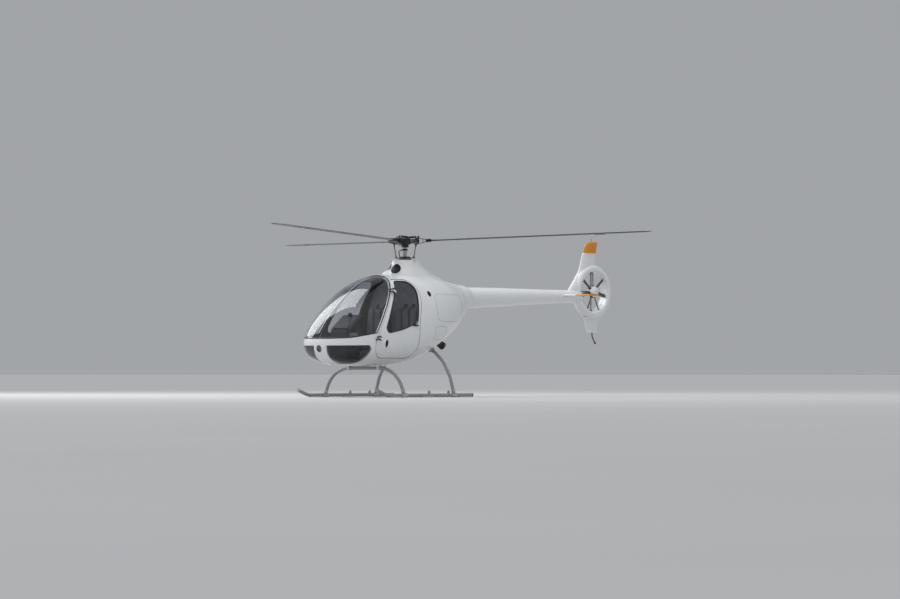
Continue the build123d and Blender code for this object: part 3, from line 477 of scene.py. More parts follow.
def slab(bm, centre, size, turn=None, round_by=0.002, segments=2, material=0):
    """A block with rounded edges."""
    turned = (turn or Matrix.Identity(3)).to_4x4()
    matrix = Matrix.Translation(centre) @ turned @ Matrix.Diagonal((*size, 1))
    known = len(bm.faces)
    made = bmesh.ops.create_cube(bm, size=1, matrix=matrix)["verts"]
    edges = list({edge for vert in made for edge in vert.link_edges})
    bmesh.ops.bevel(
        bm, geom=edges, offset=round_by, affect="EDGES", segments=segments, profile=0.5, material=-1
    )
    for face in new_faces(bm, known):
        face.material_index = material


def axes_turn(x_axis, y_axis, z_axis):
    """The turn that lays x, y and z along three directions."""
    return Matrix((x_axis, y_axis, z_axis)).transposed()


def frames(points, ups, closed=True):
    """(place, aside, up) at each point of a line, with aside across it and in the skin."""
    count = len(points)
    found = []
    for i, (point, up) in enumerate(zip(points, ups)):
        ahead = points[(i + 1) % count] if closed else points[min(i + 1, count - 1)]
        behind = points[i - 1] if closed else points[max(i - 1, 0)]
        along = (ahead - behind).normalized()
        aside = along.cross(up).normalized()
        found.append((point, aside, aside.cross(along).normalized()))
    return found


def swept(bm, line, profile, closed=True, material=0):
    """Sweeps a closed profile of (aside, up) along a line of frames."""
    known = len(bm.faces)
    rings = []
    for across, rise in profile:
        verts = [bm.verts.new(place + aside * across + up * rise) for place, aside, up in line]
        pairs = zip(verts, verts[1:] + verts[:1] if closed else verts[1:])
        rings.append([bm.edges.new(pair) for pair in pairs])
    for first, second in zip(rings, rings[1:] + rings[:1]):
        bmesh.ops.bridge_loops(bm, edges=first + second)
    if not closed:
        made = new_faces(bm, known)
        rim = list({edge for face in made for edge in face.edges if edge.is_boundary})
        bmesh.ops.holes_fill(bm, edges=rim, sides=0)
    for face in new_faces(bm, known):
        face.material_index = material


def patch(bm, across, along, where, thickness, material=0):
    """A grid laid where a function of (u, v) says, then given a thickness."""
    known = len(bm.faces)
    verts = bmesh.ops.create_grid(bm, x_segments=across, y_segments=along, size=0.5)["verts"]
    for vert in verts:
        vert.co = where(vert.co.x + 0.5, vert.co.y + 0.5)
    made = list(new_faces(bm, known))
    bmesh.ops.recalc_face_normals(bm, faces=made)
    bmesh.ops.solidify(bm, geom=made, thickness=thickness)
    for face in new_faces(bm, known):
        face.material_index = material


def piece(name, bm, materials, body, angle=38):
    """Turns a bmesh into a piece that rides on a body."""
    bmesh.ops.recalc_face_normals(bm, faces=bm.faces)
    mesh = bpy.data.meshes.new(name)
    bm.to_mesh(mesh)
    bm.free()
    for material in materials:
        mesh.materials.append(material)
    mesh.polygons.foreach_set("use_smooth", [True] * len(mesh.polygons))
    mesh.set_sharp_from_angle(angle=math.radians(angle))
    obj = bpy.data.objects.new(name, mesh)
    bpy.context.scene.collection.objects.link(obj)
    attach(obj, body)
    return obj


# %% [markdown]
# Seals, seams and screws have to lie on the curved skin. A node's sharp rims give the loops round
# its windows, and a tree of its faces gives the place and the normal under any ray.


# %% Lines on the skin
def solid_of(*names):
    """One bmesh with the CAD nodes of those names, in the frame's coordinates."""
    bm = bmesh.new()
    for name in names:
        known = len(bm.verts)
        bm.from_mesh(nodes[name].data)
        bm.verts.ensure_lookup_table()
        bmesh.ops.transform(bm, matrix=nodes[name].matrix_world, verts=bm.verts[known:])
    bmesh.ops.remove_doubles(bm, verts=bm.verts, dist=0.00005)
    bm.normal_update()
    return bm


def tree_of(*names):
    bm = solid_of(*names)
    tree = BVHTree.FromBMesh(bm)
    bm.free()
    return tree


def rims(name, centre, bend=50, facing=0.4):
    """Closed loops of (points, normals) along the sharp rims of a node's outer side."""
    bm = solid_of(name)
    keep = {}
    for edge in bm.edges:
        if len(edge.link_faces) == 2 and edge.calc_face_angle() > math.radians(bend):
            out = ((edge.verts[0].co + edge.verts[1].co) / 2 - centre).normalized()
            best = max(edge.link_faces, key=lambda face: face.normal.dot(out))
            if best.normal.dot(out) > facing:
                keep[edge] = best.normal.copy()
    loops = []
    while keep:
        edge = next(iter(keep))
        chain, ups = list(edge.verts), [keep.pop(edge)]
        while True:
            after = [link for link in chain[-1].link_edges if link in keep]
            if not after:
                break
            ups.append(keep.pop(after[0]))
            chain.append(after[0].other_vert(chain[-1]))
        if chain[-1] is chain[0] and len(chain) > 8:
            loops.append(([vert.co.copy() for vert in chain[:-1]], ups))
    bm.free()
    return loops


def evened(points, ups, step):
    """The same closed loop with points at even steps and its normals smoothed."""
    lengths = [(b - a).length for a, b in zip(points, points[1:] + points[:1])]
    count = max(12, round(sum(lengths) / step))
    stride = sum(lengths) / count
    fresh, normals = [], []
    walked, i = 0.0, 0
    for k in range(count):
        target = k * stride
        while walked + lengths[i] < target and i < len(points) - 1:
            walked += lengths[i]
            i += 1
        share = min(1.0, (target - walked) / max(lengths[i], 1e-9))
        fresh.append(points[i].lerp(points[(i + 1) % len(points)], share))
        normals.append(ups[i])
    smooth = []
    for k in range(count):
        total = Vector()
        for j in range(-3, 4):
            total += normals[(k + j) % count]
        smooth.append(total.normalized())
    return frames(fresh, smooth)


def outward(line):
    """The same frames with every aside pointing away from the loop's middle."""
    middle = sum((place for place, aside, up in line), Vector()) / len(line)
    total = sum((place - middle).dot(aside) for place, aside, up in line)
    return line if total > 0 else [(place, -aside, up) for place, aside, up in line]


SEAL = (
    (-0.0085, -0.003), (-0.0080, 0.0012), (-0.005, 0.0030), (0, 0.0036), (0.005, 0.0030), (0.0080, 0.0012),
    (0.0085, -0.003),
)
RIM_STEP = 0.010
# The windscreen has a sharp edge; that of a door's window is rounded and bends less at a time
rim_lines = {}
for name, bend in (("windscreen", 50), ("door_window_left", 35), ("door_window_right", 35)):
    found = rims(name, Vector(POD_MIDDLE), bend)
    rim_lines[name] = [outward(evened(*loop, RIM_STEP)) for loop in found]
    print(name, "rims", [len(line) for line in rim_lines[name]])

# %% Window seals and the screws round them
for label, window, body in (
    ("cabin_seals", "windscreen", "fuselage"),
    ("door_seal_left", "door_window_left", "left_door"),
    ("door_seal_right", "door_window_right", "right_door"),
):
    seals = bmesh.new()
    for line in rim_lines[window]:
        swept(seals, line, SEAL)
    piece(label, seals, [seal_rubber], body)

SCREW_PITCH = 9
SCREW_ASIDE = 0.019
SCREW_SIZE = 0.0032
for label, window, body, nodes_under in (
    ("cabin_screws", "windscreen", "fuselage", ("nose_tub", "cabin_roof")),
    ("door_screws_left", "door_window_left", "left_door", ("door_left",)),
    ("door_screws_right", "door_window_right", "right_door", ("door_right",)),
):
    screws = bmesh.new()
    skin = tree_of(*nodes_under)
    count = 0
    for line in rim_lines[window]:
        for place, aside, up in line[::SCREW_PITCH]:
            spot, normal, index, far = skin.ray_cast(place + aside * SCREW_ASIDE + up * 0.02, -up, 0.04)
            if spot and normal.dot(up) > 0.9:
                screw(screws, spot, normal, SCREW_SIZE)
                count += 1
    piece(label, screws, [bare_steel], body)
    print(label, count)

# %% [markdown]
# The rotor head carries its fittings: bolts through hub arms and forks, rod ends on the pitch links,
# the scissor that drives the swashplate, and the nut on the mast. They all turn with the rotor.

# %% Rotor head
HUB = Vector((0, 0, 2.270))
# Azimuth and cone of each blade, in degrees; each pitch link stands ahead of its blade by the lead
SPOKES = ((133, 2.4), (13, 2.4), (-107, 0.6))
LINK_LEAD = 30
MAST_RADIUS = 0.0275


def spoke_axes(azimuth, cone):
    """Outward, towards the leading edge, and up, for one blade's spoke."""
    turn = math.radians(azimuth)
    out = Vector((math.cos(turn), math.sin(turn), math.tan(math.radians(cone)))).normalized()
    lead = Vector((math.sin(turn), -math.cos(turn), 0))
    return out, lead, lead.cross(out)


head = bmesh.new()
for azimuth, cone in SPOKES:
    out, lead, up = spoke_axes(azimuth, cone)
    blade_turn = axes_turn(out, lead, up)
    # Bolts: distance out and to the side, half the height of what they hold, and size
    for reach, side, half, size in (
        (0.178, 0.0, 0.0435, 0.012), (0.365, 0.022, 0.0225, 0.0046), (0.365, -0.022, 0.0225, 0.0046),
        (0.335, 0.022, 0.0225, 0.0046), (0.335, -0.022, 0.0225, 0.0046),
    ):
        for sign in (1, -1):
            spot = HUB + out * reach + lead * side + up * sign * half
            washer = [(0, 0), (size * 1.5, 0), (size * 1.5, size * 0.16), (0, size * 0.16)]
            lathe(head, washer, spot, up * sign, 20, 1)
            nut(head, spot + up * sign * size * 0.1, up * sign, size, 1)
    for reach in (0.205, 0.262):
        slab(head, HUB + out * reach, (0.012, 0.080, 0.030), blade_turn, 0.003)
    link_turn = math.radians(azimuth - LINK_LEAD)
    link_out = Vector((math.cos(link_turn), math.sin(link_turn), 0))
    across = Vector((-link_out.y, link_out.x, 0))
    for radius, height in ((0.151, 2.047), (0.182, 2.205)):
        spot = link_out * radius + Vector((0, 0, height))
        rod_end = [(0.0075, -0.006), (0.0135, -0.006), (0.015, 0), (0.0135, 0.006), (0.0075, 0.006)]
        lathe(head, rod_end, spot, across, 20, 1, True)
        rod(head, spot - across * 0.016, spot + across * 0.016, 0.0055, 12, 1)
        nut(head, spot + across * 0.014, across, 0.005, 1)
MAST_NUT = [
    (0, 0.0), (0.030, 0.0), (0.046, 0.004), (0.047, 0.016), (0.042, 0.022), (0.032, 0.024), (0.0305, 0.040),
    (0, 0.040),
]
lathe(head, MAST_NUT, HUB + Vector((0, 0, 0.045)), (0, 0, 1), 12, 1)
for k in range(12):
    turn = math.tau * k / 12
    spot = Vector((0.060 * math.cos(turn), 0.060 * math.sin(turn), HUB.z + 0.046))
    nut(head, spot, (0, 0, 1), 0.0042, 1)
for low, high, radius in ((2.034, 2.048, 0.078), (2.184, 2.196, 0.056), (2.205, 2.214, 0.056)):
    collar_ring = [
        (MAST_RADIUS, low), (radius - 0.003, low), (radius, low + 0.003), (radius, high - 0.003),
        (radius - 0.003, high), (MAST_RADIUS, high),
    ]
    lathe(head, collar_ring, (0, 0, 0), (0, 0, 1), 40, 0, True)
piece("rotor_head_fittings", head, [dark_metal, bare_steel], "main_rotor")

# The scissor is a hinged pair of arms between the mast's collar and the turning plate
scissor = bmesh.new()
arm_out = Vector((0.68, -0.73, 0))
arm_side = Vector((-arm_out.y, arm_out.x, 0))
arm_turn = Matrix.Rotation(math.atan2(arm_out.y, arm_out.x), 3, "Z")
collar = Vector((0, 0, 2.150))
knee = arm_out * 0.093 + Vector((0, 0, 2.128))
foot = arm_out * 0.078 + Vector((0, 0, 2.042))
for start, end in ((arm_out * 0.030 + collar, knee), (foot, knee)):
    for side in (-0.012, 0.012):
        rod(scissor, start + arm_side * side, end + arm_side * side * 0.6, 0.0065, 12)
for joint, radius in ((knee, 0.0085), (foot, 0.0075)):
    rod(scissor, joint - arm_side * 0.024, joint + arm_side * 0.024, radius, 16, 1)
COLLAR_RING = [
    (MAST_RADIUS, -0.013), (0.038, -0.013), (0.041, -0.010), (0.041, 0.010), (0.038, 0.013),
    (MAST_RADIUS, 0.013),
]
lathe(scissor, COLLAR_RING, collar, (0, 0, 1), 36, 0, True)
slab(scissor, collar + arm_out * 0.040, (0.020, 0.034, 0.018), arm_turn, 0.003)
piece("swashplate_scissor", scissor, [dark_metal, bare_steel], "main_rotor")

# %% [markdown]
# Each blade gets the parts that wear: a steel strip round its leading edge, two bands where the root
# spar grows out of the fork, and a riveted trim tab behind. The strip is a patch laid on the CAD
# blade by rays, so it follows its twist.

# %% Blade fittings
STRIP_REACH = (0.70, 3.53)
STRIP_HALF_HEIGHT = 0.0085
TAB_PITCH = math.radians(7.0)


def blade_pitch(reach):
    """The pitch at a distance from the mast: 9 degrees at the root and 7 near the tip."""
    return math.radians(9.0 - 2.0 * (reach - 0.64) / 2.85)


for number, (azimuth, cone) in enumerate(SPOKES, 1):
    out, lead, up = spoke_axes(azimuth, cone)
    skin = tree_of("blade_%d" % number)

    def laid(u, v):
        near, far = STRIP_REACH
        reach = near + (far - near) * v
        pitch = blade_pitch(reach)
        chordwise = lead * math.cos(pitch) + up * math.sin(pitch)
        normal = out.cross(chordwise) * -1
        height = (u - 0.5) * 2
        start = HUB + out * reach + chordwise * 0.15 + normal * height * STRIP_HALF_HEIGHT
        spot, face, index, hit = skin.ray_cast(start, -chordwise, 0.4)
        if spot is None:
            spot, face, index, hit = skin.find_nearest(start)
        return spot + face * 0.0002

    fitted = bmesh.new()
    patch(fitted, 8, 40, laid, -0.0009)
    for reach in (0.398, 0.43):
        slab(fitted, HUB + out * reach, (0.010, 0.087, 0.0265), axes_turn(out, lead, up), 0.0028, 2, 1)
    chordwise = lead * math.cos(TAB_PITCH) + up * math.sin(TAB_PITCH)
    normal = lead.cross(out) * math.cos(TAB_PITCH) - lead * math.sin(TAB_PITCH)
    turn = axes_turn(out, chordwise, normal)
    slab(fitted, HUB + out * 2.85 - chordwise * 0.118, (0.160, 0.036, 0.0018), turn, 0.0007, 1, 1)
    for k in range(5):
        spot = HUB + out * (2.79 + 0.03 * k) - chordwise * 0.104 + normal * 0.0012
        lathe(fitted, [(0, 0.0008), (0.0018, 0.0008), (0.0026, 0), (0, 0)], spot, normal, 10, 1)
    piece("blade_fittings_%d" % number, fitted, [edge_guard, dark_metal], "main_rotor")
print("rotor fittings made")

# %% [markdown]
# What lies on the skin of the fuselage: an air scoop low on each door, the filler cap behind the
# port door, the lamp's bezel and reflector, the lips and grilles of the two inlets with a black sheet of
# painted shade behind each grille, panel seams with their fasteners, the bands at both ends of the
# boom, the exhaust's clamp, short aerials, and what is bolted to the fan and the tail.


# %% Ovals and panels on the skin
def oval_line(tree, centre, way, side, radii, count=72, square=2.0):
    """Frames round an oval that is projected on a skin from outside, along a direction."""
    way = Vector(way).normalized()
    side = Vector(side).normalized()
    other = way.cross(side).normalized()
    points, ups = [], []
    for k in range(count):
        turn = math.tau * k / count
        cos, sin = math.cos(turn), math.sin(turn)
        swell = (abs(cos) ** square + abs(sin) ** square) ** (-1 / square)
        start = Vector(centre) + side * cos * swell * radii[0] + other * sin * swell * radii[1]
        spot, normal, index, far = tree.ray_cast(start - way * 0.3, way, 1.4)
        points.append(spot)
        ups.append(normal)
    return outward(frames(points, ups))


def oval_face(bm, tree, centre, way, side, radii, rise, thickness, material):
    """A filled oval that follows the skin."""
    way = Vector(way).normalized()
    side = Vector(side).normalized()
    other = way.cross(side).normalized()

    def laid(u, v):
        a, b = 2 * u - 1, 2 * v - 1
        across = a * math.sqrt(1 - b * b / 2) * radii[0]
        along = b * math.sqrt(1 - a * a / 2) * radii[1]
        start = Vector(centre) + side * across + other * along
        spot, normal, index, far = tree.ray_cast(start - way * 0.3, way, 1.4)
        return spot + normal * rise

    patch(bm, 16, 16, laid, thickness, material)


LIP = (
    (-0.008, -0.001), (-0.008, 0.002), (-0.005, 0.0055), (0, 0.0075), (0.005, 0.0055), (0.008, 0.002),
    (0.008, -0.001),
)
SEAM = ((-0.0014, -0.0006), (-0.0012, 0.0004), (0, 0.0006), (0.0012, 0.0004), (0.0014, -0.0006))
SCOOP_X = 1.015
SCOOP_HEIGHT = 0.772

for label, node, body, sign in (
    ("door_scoop_left", "door_left", "left_door", 1), ("door_scoop_right", "door_right", "right_door", -1),
):
    skin = tree_of(node)
    centre, way = (SCOOP_X, 0.62 * sign, SCOOP_HEIGHT), (0, -sign, 0)
    scoop = bmesh.new()
    swept(scoop, oval_line(skin, centre, way, (1, 0, 0), (0.036, 0.062)), LIP)
    oval_face(scoop, skin, centre, way, (1, 0, 0), (0.034, 0.060), 0.0012, 0.001, 1)
    for k in range(5):
        height = SCOOP_HEIGHT + 0.018 * (k - 2)
        spot, normal, index, far = skin.ray_cast(Vector((SCOOP_X, 0.9 * sign, height)), Vector(way), 0.8)
        tilt = normal.to_track_quat("Z", "X").to_matrix()
        slab(scoop, spot + normal * 0.003, (0.044, 0.0022, 0.008), tilt, 0.0008, 1, 1)
    piece(label, scoop, [white_paint, black_plastic], body)

filler = bmesh.new()
rear_skin = tree_of("rear_fuselage")
FILLER = Vector((0.008, 0.493, 1.501))
FILLER_WAY = Vector((0, -0.93, -0.36))
swept(filler, oval_line(rear_skin, FILLER, FILLER_WAY, (1, 0, 0), (0.028, 0.037)), LIP, True, 1)
oval_face(filler, rear_skin, FILLER, FILLER_WAY, (1, 0, 0), (0.026, 0.035), 0.0010, 0.001, 0)
spot, normal, index, far = rear_skin.ray_cast(FILLER - FILLER_WAY * 0.3, FILLER_WAY, 0.8)
FILLER_CAP = [(0, 0.011), (0.012, 0.011), (0.0175, 0.009), (0.019, 0.004), (0.0192, 0.0), (0, 0.0)]
lathe(filler, FILLER_CAP, spot + normal * 0.001, normal, 32, 0)
tilt = normal.to_track_quat("Z", "X").to_matrix()
slab(filler, spot + normal * 0.013, (0.030, 0.008, 0.006), tilt, 0.002, 2, 2)
piece("fuel_filler", filler, [black_plastic, seal_rubber, dark_metal], "fuselage")

# %% Landing light
LIGHT = Vector((1.69, -0.022, 0.697))
BEZEL = (
    (-0.005, -0.003), (-0.005, 0.001), (-0.003, 0.0032), (0.001, 0.0036), (0.005, 0.0022), (0.006, -0.002),
)
BOWL = [
    (0.0, 0.012), (0.010, 0.012), (0.014, 0.010), (0.024, 0.016), (0.033, 0.027), (0.039, 0.041),
    (0.0405, 0.041), (0.034, 0.025), (0.024, 0.013), (0.012, 0.006), (0.0, 0.006),
]
BULB = [(0, 0.030), (0.004, 0.029), (0.0065, 0.025), (0.0065, 0.016), (0.009, 0.013), (0, 0.013)]
lamp = bmesh.new()
for line in rims("landing_light", LIGHT - Vector((0.1, 0, 0)), 50, 0.5)[:1]:
    swept(lamp, outward(evened(*line, 0.006)), BEZEL, True, 1)
lathe(lamp, BOWL, LIGHT, (1, 0, 0), 40, 0)
lathe(lamp, BULB, LIGHT, (1, 0, 0), 20, 2)
guard = LIGHT + Vector((0.038, 0, 0))
for turn in (0, math.tau / 3, 2 * math.tau / 3):
    way = Vector((0, math.cos(turn), math.sin(turn)))
    rod(lamp, guard + way * 0.003, guard + way * 0.039, 0.0012, 8, 1)
piece("landing_light_inside", lamp, [aluminium, black_plastic, lens_glass], "fuselage")

# %% Inlets of the pylon
# Each mouth leans with the pylon's nose. Its edge is a distance from the middle for each angle, read
# along the inlet's own direction. The wires, and a black sheet of painted shade under them in place of
# the dark duct, follow the pylon's curve, also across the cut opening.
pylon_skin = tree_of("pylon_fairing")
INLET_HEADING = math.radians(43)
INLET_MIDDLE = (0.305, 0.112, 1.874)
# Each pair is an angle in degrees, up from the level line towards the nose, and a distance in metres
MOUTH = (
    (-180, 0.0700), (-150, 0.0710), (-120, 0.0745), (-90, 0.0800), (-65, 0.0900), (-45, 0.0960),
    (-25, 0.0830), (-8, 0.0700), (8, 0.0590), (24, 0.0500), (40, 0.0460), (56, 0.0475), (74, 0.0550),
    (92, 0.0625), (115, 0.0640), (150, 0.0660), (180, 0.0700),
)
CUT_RADII = (0.0670, 0.0760)
MOUTH_LIP = (
    (-0.005, -0.001), (-0.0055, 0.004), (-0.003, 0.0078), (0.001, 0.0090), (0.006, 0.0068), (0.011, 0.0022),
    (0.014, -0.001),
)
WIRE = ((-0.0015, 0), (-0.0008, 0.0013), (0.0008, 0.0013), (0.0015, 0), (0.0008, -0.0013), (-0.0008, -0.0013))
WIRE_PITCH = 0.0118
WIRE_STEP = 0.004


def mouth_reach(turn):
    """How far the mouth's edge lies from its middle at an angle: the table, rounded over 24 degrees."""
    total = 0
    shifts = range(-12, 13, 3)
    for shift in shifts:
        degrees = (math.degrees(turn) + shift + 180) % 360 - 180
        (low, first), (high, last) = next(pair for pair in zip(MOUTH, MOUTH[1:]) if degrees <= pair[1][0])
        total += first + (last - first) * (degrees - low) / (high - low)
    return total / len(shifts)


def pylon_spot(centre, way, side, across, height):
    """A place on the pylon's curve and the way out of it there, on an arch where the skin is cut away."""
    inside = (across / CUT_RADII[0]) ** 2 + (height / CUT_RADII[1]) ** 2 < 1 and height < 0.008
    half = CUT_RADII[0] * math.sqrt(max(0.0, 1 - (height / CUT_RADII[1]) ** 2))
    row = []
    for end in (-half, half) if inside else (across,):
        start = centre + side * end + Vector((0, 0, height))
        spot, normal, index, far = pylon_skin.ray_cast(start - way * 0.3, way, 1.4)
        row.append((spot, normal))
    (first, out), (last, over) = row[0], row[-1]
    if not inside:
        return first, out
    share = 0.5 + 0.5 * across / half
    step = last - first
    leaving = step - out * step.dot(out)
    arriving = step - over * step.dot(over)
    place = (
        first * (2 * share**3 - 3 * share**2 + 1) + leaving * (share**3 - 2 * share**2 + share)
        + last * (3 * share**2 - 2 * share**3) + arriving * (share**3 - share**2)
    )
    return place, out.lerp(over, share).normalized()


inlets = bmesh.new()
grille_and_shade_sheet = bmesh.new()
for sign in (1, -1):
    way = Vector((-math.cos(INLET_HEADING), -sign * math.sin(INLET_HEADING), 0))
    side = Vector((math.sin(INLET_HEADING), -sign * math.cos(INLET_HEADING), 0))
    centre = Vector((INLET_MIDDLE[0], INLET_MIDDLE[1] * sign, INLET_MIDDLE[2]))

    # The black sheet of painted shade that fills the mouth, laid just off the pylon's curve
    def shade_sheet(u, v):
        a, b = 2 * u - 1, 2 * v - 1
        across, along = a * math.sqrt(1 - b * b / 2), b * math.sqrt(1 - a * a / 2)
        bend = math.atan2(along, across)
        reach = math.hypot(across, along) * mouth_reach(bend)
        place, out = pylon_spot(centre, way, side, reach * math.cos(bend), reach * math.sin(bend))
        return place + out * 0.0022

    edge = []
    for k in range(96):
        bend = math.tau * k / 96 - math.pi
        reach = mouth_reach(bend) + 0.003
        edge.append(pylon_spot(centre, way, side, reach * math.cos(bend), reach * math.sin(bend)))
    ring = frames([place for place, out in edge], [out for place, out in edge])
    swept(inlets, outward(ring), MOUTH_LIP)
    # A solid black sheet of painted shade stands for the dark duct behind the wires
    patch(grille_and_shade_sheet, 22, 22, shade_sheet, 0.0008)
    for upright in (False, True):
        for k in range(-8, 9):
            line = []
            for n in range(-26, 20):
                across, height = WIRE_PITCH * k, WIRE_STEP * n
                if not upright:
                    across, height = WIRE_STEP * n, WIRE_PITCH * k
                if math.hypot(across, height) < 0.98 * mouth_reach(math.atan2(height, across)):
                    line.append(pylon_spot(centre, way, side, across, height))
            if len(line) > 4:
                rise = 0.0036 if upright else 0.0050
                places = [place + out * rise for place, out in line]
                ways_out = [out for place, out in line]
                swept(grille_and_shade_sheet, frames(places, ways_out, False), WIRE, False)
piece("pylon_inlets", inlets, [white_paint], "fuselage")
inlet_grille_and_shade = piece("inlet_grille_and_shade", grille_and_shade_sheet, [black_plastic], "fuselage")
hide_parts("inlet_screens")

# %% Panel seams, joint rings and fasteners
body_skin = tree_of("rear_fuselage", "cabin_roof", "pylon_fairing", "nose_tub")
tail_skin = tree_of("tail_boom", "upper_fin", "fan_shroud")
seams = bmesh.new()
studs = bmesh.new()
stud_count = 0
# Service panels: x and height of the middle, and both half sizes
PANELS = ((-0.44, 1.30, (0.36, 0.20)), (-0.17, 0.93, (0.15, 0.10)))
for sign in (1, -1):
    for x, height, radii in PANELS:
        centre = (x, 0.9 * sign, height)
        line = oval_line(body_skin, centre, (0, -sign, 0), (1, 0, 0), radii, 160, 7.0)
        swept(seams, line, SEAM)
        for place, aside, up in line[::10]:
            spot, normal, index, far = body_skin.ray_cast(place - aside * 0.014 + up * 0.03, -up, 0.06)
            if spot:
                screw(studs, spot, normal, 0.0042)
                stud_count += 1


def girdle(tree, x, height, count=96):
    """Frames round the fuselage or boom at one station."""
    points, ups = [], []
    for k in range(count):
        turn = math.tau * k / count
        way = Vector((0, math.cos(turn), math.sin(turn)))
        spot, normal, index, far = tree.ray_cast(Vector((x, 0, height)) + way * 1.5, -way, 2.0)
        points.append(spot)
        ups.append(normal)
    return frames(points, ups)


BAND = (
    (-0.011, -0.0004), (-0.0105, 0.0012), (-0.006, 0.0018), (0.006, 0.0018), (0.0105, 0.0012),
    (0.011, -0.0004),
)
RIVET = [(0, 0.0016), (0.0014, 0.0015), (0.0026, 0.0006), (0.003, 0), (0, 0)]
bands = bmesh.new()
for x, height in ((-1.318, 1.462), (-3.30, 1.511)):
    line = girdle(tail_skin, x, height)
    swept(bands, line, BAND)
    for place, aside, up in line[::4]:
        lathe(studs, RIVET, place + up * 0.0017, up, 10)
swept(seams, girdle(body_skin, -0.93, 1.35), SEAM)
piece("panel_seams", seams, [dark_gap], "fuselage")
piece("joint_bands", bands, [white_paint], "fuselage")
piece("panel_fasteners", studs, [bare_steel], "fuselage")
print("fasteners", stud_count)

# %% Exhaust clamp, aerials and tail details
rear = bmesh.new()
exhaust_end = Vector((-0.640, 0.160, 0.742))
exhaust_way = (exhaust_end - Vector((-0.400, 0.130, 0.880))).normalized()
for back, half in ((0.030, 0.009), (0.0015, 0.0025)):
    pipe_band = [
        (0.0525, -half), (0.0555, -half), (0.057, -half + 0.0015), (0.057, half - 0.0015), (0.0555, half),
        (0.0525, half),
    ]
    lathe(rear, pipe_band, exhaust_end - exhaust_way * back, exhaust_way, 48, 0, True)
side = exhaust_way.cross(Vector((0, 0, 1))).normalized()
spot = exhaust_end - exhaust_way * 0.030 + side * 0.062
for sign in (1, -1):
    slab(rear, spot + Vector((0, 0, 0.007 * sign)), (0.016, 0.014, 0.003), None, 0.001, 2, 0)
rod(rear, spot + Vector((0, 0, -0.016)), spot + Vector((0, 0, 0.016)), 0.0032, 12, 1)
piece("exhaust_clamp", rear, [exhaust_steel, bare_steel], "fuselage")

WHIP = [
    (0, 0.062), (0.0020, 0.060), (0.0026, 0.020), (0.0042, 0.012), (0.010, 0.007), (0.011, -0.006),
    (0, -0.006),
]
aerials = bmesh.new()
lathe(aerials, WHIP, (-4.136, 0, 2.352), (-0.08, 0, 1), 20)
slab(aerials, (0.535, 0, 0.447), (0.090, 0.034, 0.008), None, 0.003, 2)
slab(aerials, (0.530, 0, 0.425), (0.055, 0.009, 0.046), Matrix.Rotation(math.radians(16), 3, "Y"), 0.004, 3)
piece("aerials", aerials, [black_plastic], "fuselage")

FAN = Vector((-4.145, 0, 1.595))
FAN_BLADES = 7
BLADE_COLLAR = [
    (0, 0.0), (0.026, 0.0), (0.027, 0.003), (0.024, 0.010), (0.017, 0.016), (0.011, 0.019), (0, 0.019),
]
SHAFT_END = [(0.0, 0.060), (0.006, 0.060), (0.010, 0.058), (0.011, 0.053), (0, 0.052)]
fan = bmesh.new()
for k in range(FAN_BLADES):
    turn = math.tau * k / FAN_BLADES + math.tau / 4
    way = Vector((math.cos(turn), 0, math.sin(turn)))
    root = FAN + Vector((0, 0.028, 0)) + way * 0.080
    lathe(fan, BLADE_COLLAR, root, way, 24, 1)
    across = way.cross(Vector((0, 1, 0)))
    for side in (-0.018, 0.018):
        screw(fan, FAN + Vector((0, 0.0505, 0)) + way * 0.072 + across * side, (0, 1, 0), 0.0030, 0)
lathe(fan, SHAFT_END, FAN + Vector((0, 0.050, 0)), (0, 1, 0), 24, 0)
piece("fan_fittings", fan, [bare_steel, dark_metal], "tail_fan")

STRUT_COLLAR = [(0.0133, -0.010), (0.019, -0.010), (0.023, -0.006), (0.0235, 0.006), (0.0133, 0.006)]
TAIL_SKID_TIP = [
    (0, 0.012), (0.008, 0.011), (0.0125, 0.006), (0.0135, 0), (0.0125, -0.022), (0.0092, -0.026),
    (0, -0.026),
]
tail = bmesh.new()
for sign in (1, -1):
    spot = FAN + Vector((0, -0.016, 0)) + Vector((0, 0, sign * 0.2925))
    lathe(tail, STRUT_COLLAR, spot, (0, 0, sign), 28, 0, True)
skid_end = Vector((-4.228, 0, 0.805))
skid_way = (skid_end - Vector((-4.158, 0, 0.905))).normalized()
lathe(tail, TAIL_SKID_TIP, skid_end, skid_way, 24, 0)
piece("tail_fittings", tail, [black_plastic], "fuselage")
print("fuselage fittings made")

# %% [markdown]
# The skid gear is clamped, not welded: bands hold the cross tubes in their saddles, split sleeves
# hold the legs on the skids, and caps close the tubes.

# %% Skid gear fittings
SKID_Y = 0.795
SKID_Z = 0.031
LEG_TOP = 0.300
# For each cross tube, its x and how far out its legs are at LEG_TOP
LEGS = ((0.850, 0.690), (-0.200, 0.712))
TUBE_CAP = [
    (0, 0.010), (0.012, 0.009), (0.021, 0.005), (0.0262, -0.001), (0.0262, -0.016), (0.0253, -0.018),
    (0.0253, -0.001), (0, -0.001),
]
gear = bmesh.new()


def clamp(bm, place, way, inner, wall, half):
    """A band round a tube, with eased edges."""
    profile = [
        (inner, -half), (inner + wall * 0.7, -half), (inner + wall, -half + 0.002),
        (inner + wall, half - 0.002), (inner + wall * 0.7, half), (inner, half),
    ]
    lathe(bm, profile, place, way, 32, 0, True)


